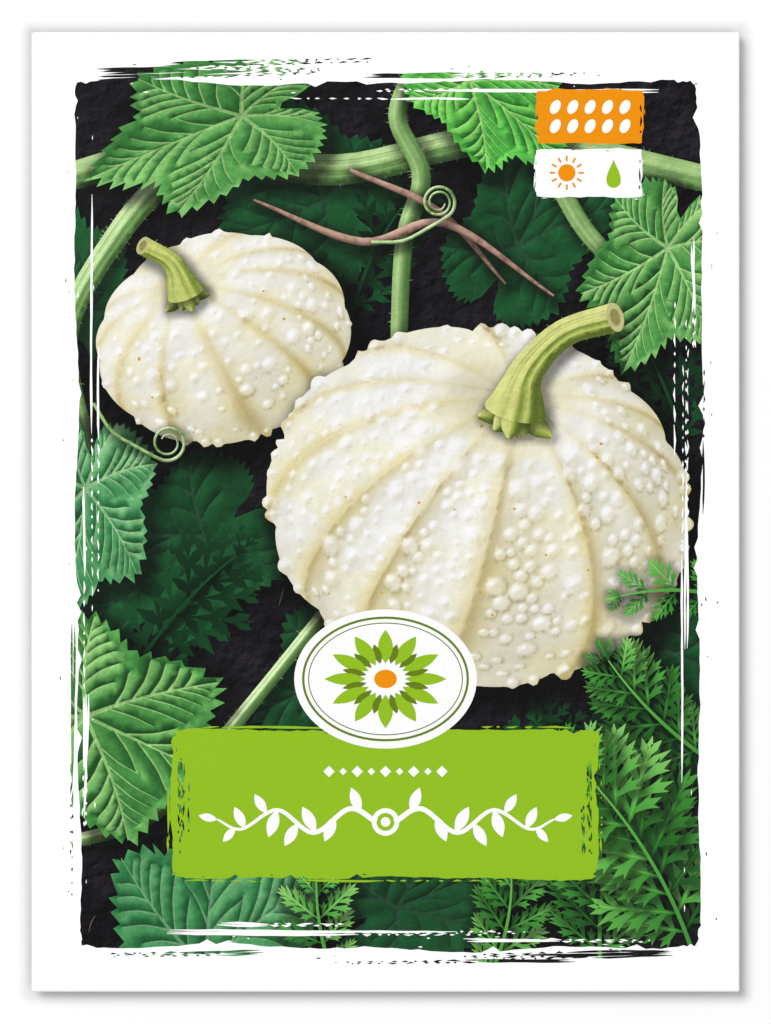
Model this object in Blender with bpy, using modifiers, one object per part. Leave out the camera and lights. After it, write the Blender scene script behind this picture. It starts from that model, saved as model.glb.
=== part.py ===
# A flat paper seed packet lying on its back, printed front up, with loose gourd seeds inside.
# One sheet is cut to a cross-shaped blank and folded: two side flaps turn in behind the front, the
# back panel comes up round the bottom fold and covers them, and the closing flap laps over it.
# X is across the packet, +Y is towards its closed top, and the belly's flat spot is at Z = 0.

import math
import random

import bmesh
import bpy

# The sheet, in metres
WIDTH = 0.118
HEIGHT = 0.160
PAPER = 0.00012
LAYER_PITCH = 0.00018  # from the middle of one layer to the middle of the next

# What the front panel carries beyond its folds
SIDE_FLAP = 0.012
TOP_FLAP = 0.022
BACK_PANEL = 0.151
FLAP_TAPER = 0.30  # how far a flap's ends draw in for each unit of its depth
SIDE_FLAP_INSET = 0.0015  # from the side flap's ends to the packet's corners
BACK_PANEL_INSET = 0.0006  # keeps the back panel's edges inside the side folds

# How far the seeds push the two panels apart, and over what distance from each edge
FRONT_BULGE = 0.00140
BACK_BULGE = 0.00130
SIDE_RAMP = 0.022
BOTTOM_RAMP = 0.024
TOP_RAMP = 0.052

# The seeds
SEED_COUNT = 10
SEED_LENGTH = 0.0112
SEED_WIDTH = 0.0072
SEED_THICKNESS = 0.0022
SEED_FALL = 0.72  # share of the thickness lost from the middle to the edge
SEED_RIM = 0.00030  # how far the raised margin stands out, where, and how wide
SEED_RIM_AT = 0.90
SEED_RIM_SPREAD = 0.06
SEED_POINT = 0.42  # how much narrower the pointed end is
SEED_CLEARANCE = 0.0003
SEED_SPACING = 0.0135
SEED_FIELD = (-0.030, 0.030, -0.049, 0.022)  # where seed centres may lie: x, x, y, y
SCATTER_SEED = 7

# Mesh density
FRONT_COLUMNS = 20
FRONT_ROWS = 26
BACK_ROWS = 25
SIDE_FLAP_COLUMNS = 2
TOP_FLAP_ROWS = 3
FOLD_STEPS = 3
SEED_SEGMENTS = 16
SEED_RINGS = 14

# Colours as the packet shows them
PAPER_WHITE = (0.93, 0.93, 0.92, 1.0)
SEED_BUFF = (0.78, 0.66, 0.45, 1.0)

# Each fold goes round the layers that it holds
SIDE_RADIUS = 0.5 * LAYER_PITCH
BOTTOM_RADIUS = 1.0 * LAYER_PITCH
TOP_RADIUS = 1.5 * LAYER_PITCH
EDGE_HEIGHT = BACK_BULGE + LAYER_PITCH + PAPER / 2  # the side flaps' middle at the packet's edges

# Where the flat front panel ends and its folds begin
PANEL_X = WIDTH / 2 - PAPER / 2 - SIDE_RADIUS
PANEL_TOP = HEIGHT / 2 - PAPER / 2 - TOP_RADIUS
PANEL_BOTTOM = -HEIGHT / 2 + PAPER / 2 + BOTTOM_RADIUS


def clear_scene():
    for old in list(bpy.data.objects):
        bpy.data.objects.remove(old, do_unlink=True)


def make_material(name, colour, roughness):
    material = bpy.data.materials.new(name)
    material.use_nodes = True
    shader = material.node_tree.nodes["Principled BSDF"]
    shader.inputs["Base Color"].default_value = colour
    shader.inputs["Roughness"].default_value = roughness
    shader.inputs["Metallic"].default_value = 0.0
    return material


def ramp(distance, reach):
    # 0 at an edge, rising like a stretched sheet to 1 at the distance called reach
    share = min(max(distance / reach, 0.0), 1.0)
    return math.sin(share * math.pi / 2)


def swell(x, y):
    # How much of the full bulge the contents give at this place, from 0 to 1
    side = ramp(WIDTH / 2 - abs(x), SIDE_RAMP)
    bottom = ramp(y + HEIGHT / 2, BOTTOM_RAMP)
    top = ramp(HEIGHT / 2 - y, TOP_RAMP)
    return side * bottom * top


def front_height(x, y):
    return EDGE_HEIGHT + LAYER_PITCH + FRONT_BULGE * swell(x, y)


def back_height(x, y, layers_below):
    # The middle of a layer behind the contents, so many layers below the side flaps
    return EDGE_HEIGHT - BACK_BULGE * swell(x, y) - layers_below * LAYER_PITCH


def around_fold(share, radius):
    # A half turn from the front panel down to the back: (outward, height change) from its start
    angle = share * math.pi
    return radius * math.sin(angle), -radius * (1 - math.cos(angle))


def front_point(across, up):
    # across and up run from 0 to 1 over the front panel
    x = PANEL_X * (2 * across - 1)
    y = PANEL_BOTTOM + (PANEL_TOP - PANEL_BOTTOM) * up
    return x, y, front_height(x, y)


def side_point(side, fold, flap, up):
    # The fold at one side, then the flap that turns in behind the front
    y = PANEL_BOTTOM + (PANEL_TOP - PANEL_BOTTOM) * up
    ends = HEIGHT - 2 * (SIDE_FLAP_INSET + FLAP_TAPER * SIDE_FLAP * flap)
    drawn_in = y * (1 - (1 - ends / HEIGHT) * min(1.0, fold))
    if flap == 0:
        out, drop = around_fold(fold, SIDE_RADIUS)
        return side * (PANEL_X + out), drawn_in, front_height(PANEL_X, drawn_in) + drop
    x = side * (PANEL_X - SIDE_FLAP * flap)
    return x, drawn_in, back_height(x, drawn_in, layers_below=0)


def bottom_point(across, fold, panel):
    # The bottom fold, then the back panel that comes up over the side flaps
    narrowing = 1 - BACK_PANEL_INSET / PANEL_X * min(1.0, fold)
    x = PANEL_X * (2 * across - 1) * narrowing
    if panel == 0:
        out, drop = around_fold(fold, BOTTOM_RADIUS)
        return x, PANEL_BOTTOM - out, front_height(x, PANEL_BOTTOM) + drop
    y = PANEL_BOTTOM + BACK_PANEL * panel
    return x, y, back_height(x, y, layers_below=1)


def top_point(across, fold, flap):
    # The top fold, then the closing flap that comes down over the back panel
    tapering = 1 - (SIDE_FLAP_INSET + FLAP_TAPER * TOP_FLAP * flap) / PANEL_X * min(1.0, fold)
    x = PANEL_X * (2 * across - 1) * tapering
    if flap == 0:
        out, drop = around_fold(fold, TOP_RADIUS)
        return x, PANEL_TOP + out, front_height(x, PANEL_TOP) + drop
    y = PANEL_TOP - TOP_FLAP * flap
    return x, y, back_height(x, y, layers_below=2)


def folded(column, row):
    # Carries a crossing of the blank's grid, counted from the front panel's corner, to its place
    across = min(max(column / FRONT_COLUMNS, 0.0), 1.0)
    up = min(max(row / FRONT_ROWS, 0.0), 1.0)
    beyond_side = max(-column, column - FRONT_COLUMNS)
    beyond_bottom = -row
    beyond_top = row - FRONT_ROWS
    if beyond_side > 0:
        side = -1 if column < 0 else 1
        fold = min(beyond_side / FOLD_STEPS, 1.0)
        flap = max(0.0, (beyond_side - FOLD_STEPS) / SIDE_FLAP_COLUMNS)
        return side_point(side, fold, flap, up)
    if beyond_bottom > 0:
        fold = min(beyond_bottom / FOLD_STEPS, 1.0)
        return bottom_point(across, fold, max(0.0, (beyond_bottom - FOLD_STEPS) / BACK_ROWS))
    if beyond_top > 0:
        fold = min(beyond_top / FOLD_STEPS, 1.0)
        return top_point(across, fold, max(0.0, (beyond_top - FOLD_STEPS) / TOP_FLAP_ROWS))
    return front_point(across, up)


def make_blank():
    # The flat cross-shaped blank as a grid with one unit between its lines
    left = FOLD_STEPS + SIDE_FLAP_COLUMNS
    below = FOLD_STEPS + BACK_ROWS
    above = FOLD_STEPS + TOP_FLAP_ROWS
    columns = FRONT_COLUMNS + 2 * left
    rows = FRONT_ROWS + below + above
    blank = bmesh.new()
    bmesh.ops.create_grid(blank, x_segments=columns, y_segments=rows, size=0.5)
    for vert in blank.verts:
        vert.co.x = round((vert.co.x + 0.5) * columns) - left
        vert.co.y = round((vert.co.y + 0.5) * rows) - below
    corners = []
    for face in blank.faces:
        middle = face.calc_center_median()
        beside = middle.x < 0 or middle.x > FRONT_COLUMNS
        beyond = middle.y < 0 or middle.y > FRONT_ROWS
        if beside and beyond:
            corners.append(face)
    bmesh.ops.delete(blank, geom=corners, context="FACES")
    return blank


def make_envelope(collection, material):
    blank = make_blank()
    for vert in blank.verts:
        vert.co = folded(round(vert.co.x), round(vert.co.y))
    mesh = bpy.data.meshes.new("paper_envelope")
    blank.to_mesh(mesh)
    blank.free()
    mesh.materials.append(material)
    envelope = bpy.data.objects.new("paper_envelope", mesh)
    collection.objects.link(envelope)
    thicken = envelope.modifiers.new("paper", "SOLIDIFY")
    thicken.thickness = PAPER
    thicken.offset = 0.0
    thicken.use_even_offset = True
    mesh.shade_smooth()
    mesh.set_sharp_from_angle(angle=math.radians(25))
    return envelope


def scatter_seeds():
    # Seeded places and turns, each seed clear of the ones before it
    chance = random.Random(SCATTER_SEED)
    low_x, high_x, low_y, high_y = SEED_FIELD
    places = []
    while len(places) < SEED_COUNT:
        x = chance.uniform(low_x, high_x)
        y = chance.uniform(low_y, high_y)
        turn = chance.uniform(-math.pi, math.pi)
        if all(math.hypot(x - a, y - b) > SEED_SPACING for a, b, _ in places):
            places.append((x, y, turn))
    return places


def seed_half_thickness(reach):
    # A plump middle, a groove near the margin and the raised margin itself; reach is 1 at the edge
    if reach > 0.999:
        return 0.0
    body = SEED_THICKNESS / 2 * (1 - SEED_FALL * reach ** 2)
    return body + SEED_RIM * math.exp(-(((reach - SEED_RIM_AT) / SEED_RIM_SPREAD) ** 2))


def make_seed_mesh(material):
    # A flat oval drawn to a point at one end
    shape = bmesh.new()
    bmesh.ops.create_uvsphere(
        shape, u_segments=SEED_SEGMENTS, v_segments=SEED_RINGS, radius=1.0
    )
    for vert in shape.verts:
        reach = min(math.hypot(vert.co.x, vert.co.y), 1.0)
        narrowing = 1 - SEED_POINT * max(0.0, vert.co.x) ** 3
        vert.co.z = math.copysign(seed_half_thickness(reach), vert.co.z)
        vert.co.x *= SEED_LENGTH / 2
        vert.co.y *= SEED_WIDTH / 2 * narrowing
    mesh = bpy.data.meshes.new("seed")
    shape.to_mesh(mesh)
    shape.free()
    mesh.materials.append(material)
    mesh.shade_smooth()
    return mesh


def make_seeds(collection, material):
    mesh = make_seed_mesh(material)
    height = PAPER + SEED_CLEARANCE + SEED_THICKNESS / 2
    for number, (x, y, turn) in enumerate(scatter_seeds(), start=1):
        seed = bpy.data.objects.new(f"seed_{number:02d}", mesh)
        seed.location = (x, y, height)
        seed.rotation_euler = (0.0, 0.0, turn)
        collection.objects.link(seed)


def main():
    clear_scene()
    packet = bpy.data.collections.new("seed_packet")
    bpy.context.scene.collection.children.link(packet)
    make_envelope(packet, make_material("coated_paper", PAPER_WHITE, 0.45))
    make_seeds(packet, make_material("seed_coat", SEED_BUFF, 0.6))


main()
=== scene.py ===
# A flat paper seed packet lying front up on a pale floor, with loose seeds inside it
# The sheet is in metres; everything printed on it is in millimetres from the middle of its panel

import math
import random

import bmesh
import bpy
import numpy as np
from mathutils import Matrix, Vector
from mathutils.geometry import delaunay_2d_cdt


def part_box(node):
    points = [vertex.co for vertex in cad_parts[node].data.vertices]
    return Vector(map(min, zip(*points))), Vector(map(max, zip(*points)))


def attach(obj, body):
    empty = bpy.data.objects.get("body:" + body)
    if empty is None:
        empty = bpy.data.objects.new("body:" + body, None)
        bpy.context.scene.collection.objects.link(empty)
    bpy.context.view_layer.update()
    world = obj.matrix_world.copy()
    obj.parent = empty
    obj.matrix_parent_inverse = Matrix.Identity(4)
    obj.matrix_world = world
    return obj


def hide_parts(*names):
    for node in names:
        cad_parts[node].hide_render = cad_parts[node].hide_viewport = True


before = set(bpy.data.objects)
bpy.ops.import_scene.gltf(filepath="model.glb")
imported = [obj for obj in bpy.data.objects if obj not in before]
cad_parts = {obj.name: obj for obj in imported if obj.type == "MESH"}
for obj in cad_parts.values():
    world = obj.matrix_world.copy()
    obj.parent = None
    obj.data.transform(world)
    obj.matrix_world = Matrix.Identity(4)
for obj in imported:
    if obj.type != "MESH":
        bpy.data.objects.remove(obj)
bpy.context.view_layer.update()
print("frame loaded,", len(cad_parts), "nodes")

mm = 0.001
bpy.context.scene.view_settings.view_transform = "Standard"
bpy.context.scene.view_settings.look = "None"

# The folded sheet, with the surfaces that its layers follow
packet = {
    "width": 0.118,
    "height": 0.160,
    "paper": 0.00012,
    "layerPitch": 0.00018,
    "sideFlap": 0.012,
    "topFlap": 0.022,
    "backPanel": 0.151,
    "flapTaper": 0.30,
    "sideFlapInset": 0.0015,
    "backPanelInset": 0.0006,
    "frontBulge": 0.00140,
    "backBulge": 0.00130,
    "sideRamp": 0.022,
    "bottomRamp": 0.024,
    "topRamp": 0.052,
    "seedLift": 0.00016,  # how far a seed shows through the front
    "seedSpread": 0.0042,
    "seedCrowd": 1.3,  # the most that bumps side by side add up to
}
halfPaper = packet["paper"] / 2
sideRadius = 0.5 * packet["layerPitch"]
bottomRadius = 1.0 * packet["layerPitch"]
topRadius = 1.5 * packet["layerPitch"]
edgeHeight = packet["backBulge"] + packet["layerPitch"] + halfPaper
panelX = packet["width"] / 2 - halfPaper - sideRadius
panelTop = packet["height"] / 2 - halfPaper - topRadius
panelBottom = -packet["height"] / 2 + halfPaper + bottomRadius
backPanelX = panelX - packet["backPanelInset"]
backPanelTop = panelBottom + packet["backPanel"]

seedNodes = sorted(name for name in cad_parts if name.startswith("seed_"))
seedSpots = [(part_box(name)[0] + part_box(name)[1]) / 2 for name in seedNodes]


def ramp(distance, reach):
    return np.sin(np.clip(distance / reach, 0, 1) * np.pi / 2)


def swell(x, y):
    side = ramp(packet["width"] / 2 - np.abs(x), packet["sideRamp"])
    bottom = ramp(y + packet["height"] / 2, packet["bottomRamp"])
    top = ramp(packet["height"] / 2 - y, packet["topRamp"])
    return side * bottom * top


def frontHeight(x, y):
    return edgeHeight + packet["layerPitch"] + packet["frontBulge"] * swell(x, y)


def backHeight(x, y, layersBelow):
    return edgeHeight - packet["backBulge"] * swell(x, y) - layersBelow * packet["layerPitch"]


def seedRelief(x, y):
    # The seeds' soft bumps through the front, none at the folds
    lift = sum(
        np.exp(-((x - spot.x) ** 2 + (y - spot.y) ** 2) / (2 * packet["seedSpread"] ** 2))
        for spot in seedSpots
    )
    return packet["seedLift"] * np.minimum(lift, packet["seedCrowd"]) * swell(x, y)


# Drawing helpers: paths and outlines are arrays of points in millimetres


def asPoints(points):
    return np.array(points, dtype=float).reshape(-1, 2)


def way(turn):
    # The unit step at an angle in radians
    return np.array([math.cos(turn), math.sin(turn)])


def leftOf(step):
    return np.array([-step[1], step[0]])


def degreesOf(step):
    return math.degrees(math.atan2(step[1], step[0]))


def evenly(values, shares):
    # Values that are spread evenly along a way, read at shares of it
    return np.interp(shares, np.linspace(0, 1, len(values)), values)


def curve(points, steps=10):
    # A smooth path through a few points
    given = asPoints(points)
    padded = np.vstack([2 * given[0] - given[1], given, 2 * given[-1] - given[-2]])
    path = []
    for k in range(len(given) - 1):
        a, b, c, d = padded[k : k + 4]
        bend, twist = 2 * a - 5 * b + 4 * c - d, 3 * b - a - 3 * c + d
        path += [0.5 * (2 * b + (c - a) * t + bend * t**2 + twist * t**3) for t in np.arange(steps) / steps]
    return np.array(path + [given[-1]])


def nearestStretch(starts, steps, points):
    # The straight stretch nearest to each point: its number, the share along it, and the way from it
    away = points[:, None, :] - starts[None]
    t = np.clip((away * steps).sum(2) / ((steps**2).sum(1) + 1e-12), 0, 1)
    gap = away - t[..., None] * steps
    nearest = (gap**2).sum(2).argmin(1)
    rows = np.arange(len(points))
    return nearest, t[rows, nearest], gap[rows, nearest]


def leftward(path):
    # The unit normal to the left of a path at each of its points
    ahead = np.gradient(path, axis=0)
    ahead /= np.linalg.norm(ahead, axis=1, keepdims=True) + 1e-9
    return np.stack([-ahead[:, 1], ahead[:, 0]], axis=1)


def strip(path, widths):
    # The outline of a stroke; widths are spread evenly along the path
    half = evenly(widths, np.linspace(0, 1, len(path)))[:, None] / 2
    side = leftward(path) * half
    return np.vstack([path + side, (path - side)[::-1]])


def beside(path, points):
    # For each point: its share of the way along the path, and the shortest way from the path to it
    nearest, share, gap = nearestStretch(path[:-1], np.diff(path, axis=0), points)
    return (nearest + share) / (len(path) - 1), gap


def inBatches(work, points):
    # Runs a job that takes much memory on a few points at a time
    return np.concatenate([work(part) for part in np.array_split(points, len(points) // 2000 + 1)])


def turned(points, degrees):
    c, s = math.cos(math.radians(degrees)), math.sin(math.radians(degrees))
    return asPoints(points) @ np.array([[c, s], [-s, c]])


def oval(middle, radii, count=24, degrees=0):
    angles = np.linspace(0, 2 * np.pi, count, endpoint=False)
    ring = np.stack([radii[0] * np.cos(angles), radii[1] * np.sin(angles)], axis=1)
    return turned(ring, degrees) + middle


def block(low, high):
    return asPoints([low, (high[0], low[1]), high, (low[0], high[1])])


def holds(outline, points, inOrder=False):
    # Which points lie inside an outline; inOrder says that the points are sorted by height
    found = np.zeros(len(points), bool)
    low, high = outline.min(0), outline.max(0)
    first, last = np.searchsorted(points[:, 1], (low[1], high[1])) if inOrder else (0, len(points))
    part = points[first:last]
    near = first + np.nonzero(((part > low) & (part < high)).all(1))[0]
    if len(near) == 0:
        return found
    x, y = points[near, 0, None], points[near, 1, None]
    ax, ay = outline[:, 0], outline[:, 1]
    bx, by = np.roll(ax, -1), np.roll(ay, -1)
    spans = (ay > y) != (by > y)
    rise = np.where(by == ay, 1e-9, by - ay)
    found[near] = (spans & (x < ax + (y - ay) * (bx - ax) / rise)).sum(1) % 2 == 1
    return found


def smooth(value, low, high):
    t = np.clip((value - low) / (high - low), 0, 1)
    return t * t * (3 - 2 * t)


def toned(share, tones):
    # A colour between the tones, from the darkest at 0 to the lightest at 1
    return np.stack([evenly([tone[k] for tone in tones], np.clip(share, 0, 1)) for k in range(3)], axis=1)


def mixed(first, second, share):
    # One colour drawn towards another, by one share or by a share for each point
    return first + (np.asarray(second) - first) * np.reshape(share, (-1, 1))


def flat(colour):
    return lambda points: np.tile(colour, (len(points), 1))


# How the picture is lit, and the shadows its things throw on those below
pictureLight = {
    "towards": (-0.50, 0.58, 0.64),
    "ambient": 0.26,
    "direct": 0.86,
    "shadowShift": (0.62, -0.80),  # for each millimetre that a thing stands above those below it
    "shadowReach": (0.9, 1.5),  # how far a shadow's edge spreads, and how much more for each millimetre
    "shadowFade": 1.5,  # the higher, the faster a shadow fades away from its thing
    "farthest": 6,  # how far off a thing still throws a shadow
    "pooled": 0.80,  # the least that shadows falling together leave of the darkest one
}


def lit(normals):
    towards = np.array(pictureLight["towards"])
    towards = towards / np.linalg.norm(towards)
    units = normals / np.linalg.norm(normals, axis=1, keepdims=True)
    return pictureLight["ambient"] + pictureLight["direct"] * np.clip(units @ towards, 0, None)


def castShadow(outline, points, strength, drop):
    # What is left of the light at each point beside one thing that stands so many millimetres above
    reach = pictureLight["shadowReach"][0] + pictureLight["shadowReach"][1] * drop
    moved = points - np.array(pictureLight["shadowShift"]) * drop
    left = np.ones(len(points))
    low, high = outline.min(0) - reach, outline.max(0) + reach
    near = np.nonzero(((moved > low) & (moved < high)).all(1))[0]
    if len(near) == 0:
        return left
    closed = np.vstack([outline, outline[:1]])
    gaps = inBatches(lambda part: beside(closed, part)[1], moved[near])
    distance = np.where(holds(outline, moved[near]), 0, np.linalg.norm(gaps, axis=1))
    left[near] = 1 - strength * (1 - smooth(distance, 0, reach)) ** pictureLight["shadowFade"]
    return left


# A print is a pile of things in one order, each with an ink and a way to colour its points


def newPrint(low, high):
    return {"low": low, "high": high, "things": [], "creases": [], "dots": [], "mask": None}


# How far apart the points of a print's mesh lie, in millimetres
pitches = {
    "edge": 2.0,
    "outline": 2.2,
    "picture": 1.2,
    "squash": 0.82,
    "margin": 2.0,
    "label": 2.0,
    "back": 2.6,
    "unprinted": 4.0,
}


def lay(sheet, outlines, ink, paint, casts=None, holes=(), overprint=False, solid=False):
    # casts is a shadow's strength and the thing's height above those below; a solid thing hides them
    outlines = [outlines] if isinstance(outlines, np.ndarray) else list(outlines)
    thing = {"outlines": outlines, "holes": list(holes), "ink": ink, "paint": paint}
    sheet["things"].append(thing | {"casts": casts, "overprint": overprint, "solid": solid})


def covered(thing, points, inOrder=False):
    found = np.zeros(len(points), bool)
    for outline in thing["outlines"]:
        found |= holds(outline, points, inOrder)
    for hole in thing["holes"]:
        found &= ~holds(hole, points, inOrder)
    return found


def dropHidden(sheet):
    # Leaves out what lies wholly under one solid thing, or wholly outside the picture
    walls = [(k, thing["outlines"][0]) for k, thing in enumerate(sheet["things"]) if thing["solid"]]
    frameLine = sheet["mask"]["outlines"][0] if sheet["mask"] else None
    for number, thing in enumerate(sheet["things"]):
        if thing["overprint"] or thing["solid"]:
            continue
        kept = []
        for outline in thing["outlines"]:
            under = any(k > number and holds(wall, outline).all() for k, wall in walls)
            outside = frameLine is not None and len(outline) > 4 and not holds(frameLine, outline).any()
            if not under and not outside:
                kept.append(outline)
        thing["outlines"] = kept
    for k, wall in walls:
        if sheet["things"][k]["overprint"]:
            sheet["dots"] = [dots[~holds(wall, dots)] for dots in sheet["dots"]]
            sheet["dots"].append(dotsWithin(wall, pitches["label"]))


def dotsOver(low, high, pitch):
    # Evenly spaced points in staggered rows
    rows = np.arange(low[1] + pitch / 2, high[1], pitch * 0.866)
    dots = []
    for number, y in enumerate(rows):
        shift = pitch * (0.25 if number % 2 else 0.75)
        x = np.arange(low[0] + shift, high[0], pitch)
        dots.append(np.stack([x, np.full(len(x), y)], axis=1))
    return np.vstack(dots)


def dotsWithin(outline, pitch):
    dots = dotsOver(outline.min(0), outline.max(0), pitch)
    return dots[holds(outline, dots)]


def edgeRing(low, high):
    # The panel's own outline with points at an even pitch
    corners = np.vstack([block(low, high), [low]])
    ring = []
    for a, b in zip(corners[:-1], corners[1:]):
        count = round(np.linalg.norm(b - a) / pitches["edge"])
        ring.append(a + (b - a) * (np.arange(count) / count)[:, None])
    return np.vstack(ring)


def finely(line, closed):
    # The same line with points added along its long stretches
    ahead = np.roll(line, -1, axis=0)
    pieces = []
    for k, (a, b) in enumerate(zip(line, ahead)):
        last = k == len(line) - 1 and not closed
        count = 1 if last else max(1, math.ceil(np.linalg.norm(b - a) / pitches["outline"]))
        pieces.append(a + (b - a) * (np.arange(count) / count)[:, None])
    return np.vstack(pieces)


def joined(count, first=0, closed=True):
    # The edges that join so many points in a row
    return [(first + k, first + (k + 1) % count) for k in range(count if closed else count - 1)]


def triangulated(points, edges):
    # A flat mesh of triangles that keeps all these edges, with points that all but touch merged
    found = delaunay_2d_cdt([Vector(point) for point in points], edges, [], 1, 1e-4, False)
    return np.array([tuple(vert) for vert in found[0]]), np.array(found[2])


def partition(sheet, ring):
    # Cuts the panel into triangles that no outline crosses, and finds what each one shows
    clear, sliver = 0.4, 1e-7
    low, high = np.array(sheet["low"]) + clear, np.array(sheet["high"]) - clear
    cutting = sheet["things"] + ([sheet["mask"]] if sheet["mask"] else [])
    lines = [(loop, True) for thing in cutting for loop in thing["outlines"] + thing["holes"]]
    points, edges, count = [ring], joined(len(ring)), len(ring)
    for line, closed in lines + [(crease, False) for crease in sheet["creases"]]:
        line = finely(np.clip(line, low, high), closed)
        points.append(line)
        edges += joined(len(line), count, closed)
        count += len(line)
    points.append(np.clip(np.vstack(sheet["dots"]), low, high))
    verts, faces = triangulated(np.vstack(points), edges)
    sides = verts[faces]
    ahead, aside = sides[:, 1] - sides[:, 0], sides[:, 2] - sides[:, 0]
    area = ahead[:, 0] * aside[:, 1] - ahead[:, 1] * aside[:, 0]
    faces = np.where((area < 0)[:, None], faces[:, ::-1], faces)[np.abs(area) > sliver]
    faces = faces[np.argsort(verts[faces].mean(1)[:, 1])]
    middles = verts[faces].mean(1)
    inPicture = covered(sheet["mask"], middles, True) if sheet["mask"] else np.ones(len(faces), bool)
    shown = np.full(len(faces), -1)
    for number, thing in enumerate(sheet["things"]):
        inside = covered(thing, middles, True)
        shown[inside if thing["overprint"] else inside & inPicture] = number
    return verts, faces, shown


def toLinear(colours):
    # Screen colours as amounts of light
    return np.where(colours <= 0.04045, colours / 12.92, ((colours + 0.055) / 1.055) ** 2.4)


def inkColours(sheet, verts, faces, shown):
    # A colour for each corner of each triangle, as painted and then shaded by what lies above
    colours = np.ones((len(faces), 3, 3))
    for number, thing in enumerate(sheet["things"]):
        own = np.nonzero(shown == number)[0]
        if len(own) == 0:
            continue
        used, back = np.unique(faces[own], return_inverse=True)
        places = verts[used]
        painted = np.clip(thing["paint"](places), 0, 1)
        light, darkest = np.ones(len(places)), np.ones(len(places))
        least, most = places.min(0) - pictureLight["farthest"], places.max(0) + pictureLight["farthest"]
        later = [] if thing["overprint"] else sheet["things"][number + 1 :]
        for above in [other for other in later if other["casts"]]:
            for outline in above["outlines"]:
                if (outline.min(0) < most).all() and (outline.max(0) > least).all():
                    shadow = castShadow(outline, places, *above["casts"])
                    light *= shadow
                    darkest = np.minimum(darkest, shadow)
        painted = painted * np.maximum(light, pictureLight["pooled"] * darkest)[:, None]
        colours[own] = painted[back.reshape(-1)].reshape(-1, 3, 3)
    return toLinear(colours)


def newObject(name, mesh):
    made = bpy.data.objects.new(name, mesh)
    bpy.context.scene.collection.objects.link(made)
    return made


def alongEdge(points, ring, low, high):
    # Which of the points on the panel's edge lies nearest to each point of the ring
    onEdge = np.nonzero(np.minimum(points - low, high - points).min(1) < 0.05)[0]
    return [int(onEdge[((points[onEdge] - place) ** 2).sum(1).argmin()]) for place in ring]


# How high each part of a panel lies on its map
mapRows = {"print": (0.03, 1.0), "unprinted": (0.004, 0.022), "rim": (0.025, 0.028)}


def addMap(mesh, shares, printed, rimCount):
    # The print fills most of the map, and the unprinted side and the rim keep thin strips below it
    corners = np.zeros(len(mesh.loops), np.int32)
    mesh.loops.foreach_get("vertex_index", corners)
    spread = shares[corners]
    for part, rows in ((slice(printed), "print"), (slice(printed, None), "unprinted")):
        low, high = mapRows[rows]
        spread[part, 1] = low + (high - low) * spread[part, 1]
    start = np.arange(rimCount) / rimCount
    across = np.stack([start + 1 / rimCount, start, start, start + 1 / rimCount], axis=1)
    low, high = mapRows["rim"]
    spread[-4 * rimCount :] = np.stack([across.ravel(), np.tile((high, high, low, low), rimCount)], axis=1)
    layer = mesh.uv_layers.new(name="OFBake")
    layer.data.foreach_set("uv", spread.astype(np.float32).ravel())


def printedPanel(name, sheet, outer, inner, inks):
    # One printed panel as a closed sheet: the cut-up outer skin, a coarse inner skin and their rim
    low, high = np.array(sheet["low"]), np.array(sheet["high"])
    ring = edgeRing(low, high)
    dropHidden(sheet)
    verts, faces, shown = partition(sheet, ring)
    printed, count = len(faces), len(verts)
    colours = inkColours(sheet, verts, faces, shown)
    inside = dotsOver(low + pitches["edge"], high - pitches["edge"], pitches["unprinted"])
    backVerts, backFaces = triangulated(np.vstack([ring, inside]), joined(len(ring)))
    outerRing = alongEdge(verts, ring, low, high)
    innerRing = [k + count for k in alongEdge(backVerts, ring, low, high)]
    rim = [(outerRing[b], outerRing[a], innerRing[a], innerRing[b]) for a, b in joined(len(ring))]
    places = np.vstack([outer(verts * mm), inner(backVerts * mm)])
    mesh = bpy.data.meshes.new(name)
    mesh.from_pydata(places.tolist(), [], faces.tolist() + (backFaces[:, ::-1] + count).tolist() + rim)
    values = np.ones((len(mesh.loops), 4), np.float32)
    values[: printed * 3, :3] = colours.reshape(-1, 3)
    mesh.attributes.new("ink", "FLOAT_COLOR", "CORNER").data.foreach_set("color", values.ravel())
    addMap(mesh, (np.vstack([verts, backVerts]) - low) / (high - low), printed * 3, len(ring))

    names = ["paper"] + sorted({thing["ink"] for thing in sheet["things"]} - {"paper"})
    for inkName in names:
        mesh.materials.append(inks[inkName])
    slots = np.zeros(len(mesh.polygons), np.int32)
    slotOf = np.array([names.index(thing["ink"]) for thing in sheet["things"]] + [0])
    slots[:printed] = slotOf[shown]
    mesh.polygons.foreach_set("material_index", slots)
    mesh.validate()
    mesh.shade_smooth()
    mesh.set_sharp_from_angle(angle=math.radians(finish["edgeAngle"]))
    print(name, "has", printed, "printed triangles and", len(sheet["things"]), "printed things")
    return newObject(name, mesh)


# Paper and inks

finish = {
    "paperWhite": (0.93, 0.93, 0.925, 1.0),
    "whiteShare": 0.86,  # what the lightest ink sends back
    "paperRoughness": 0.46,
    "inkRoughness": 0.38,
    "specular": 0.12,
    "fibre": 2600.0,
    "fibreDepth": 0.000004,
    "sheen": 90.0,  # how fine the patches are that shine a little more or less
    "edgeAngle": 40,  # a bend sharper than this many degrees shows as an edge
}


def addNode(tree, kind, settings=None, inputs=None):
    node = tree.nodes.new(kind)
    for key, value in (settings or {}).items():
        setattr(node, key, value)
    for key, value in (inputs or {}).items():
        if isinstance(value, bpy.types.NodeSocket):
            tree.links.new(value, node.inputs[key])
        else:
            node.inputs[key].default_value = value
    return node


def maths(tree, operation, a, b=0.0):
    return addNode(tree, "ShaderNodeMath", {"operation": operation}, {0: a, 1: b}).outputs[0]


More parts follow.
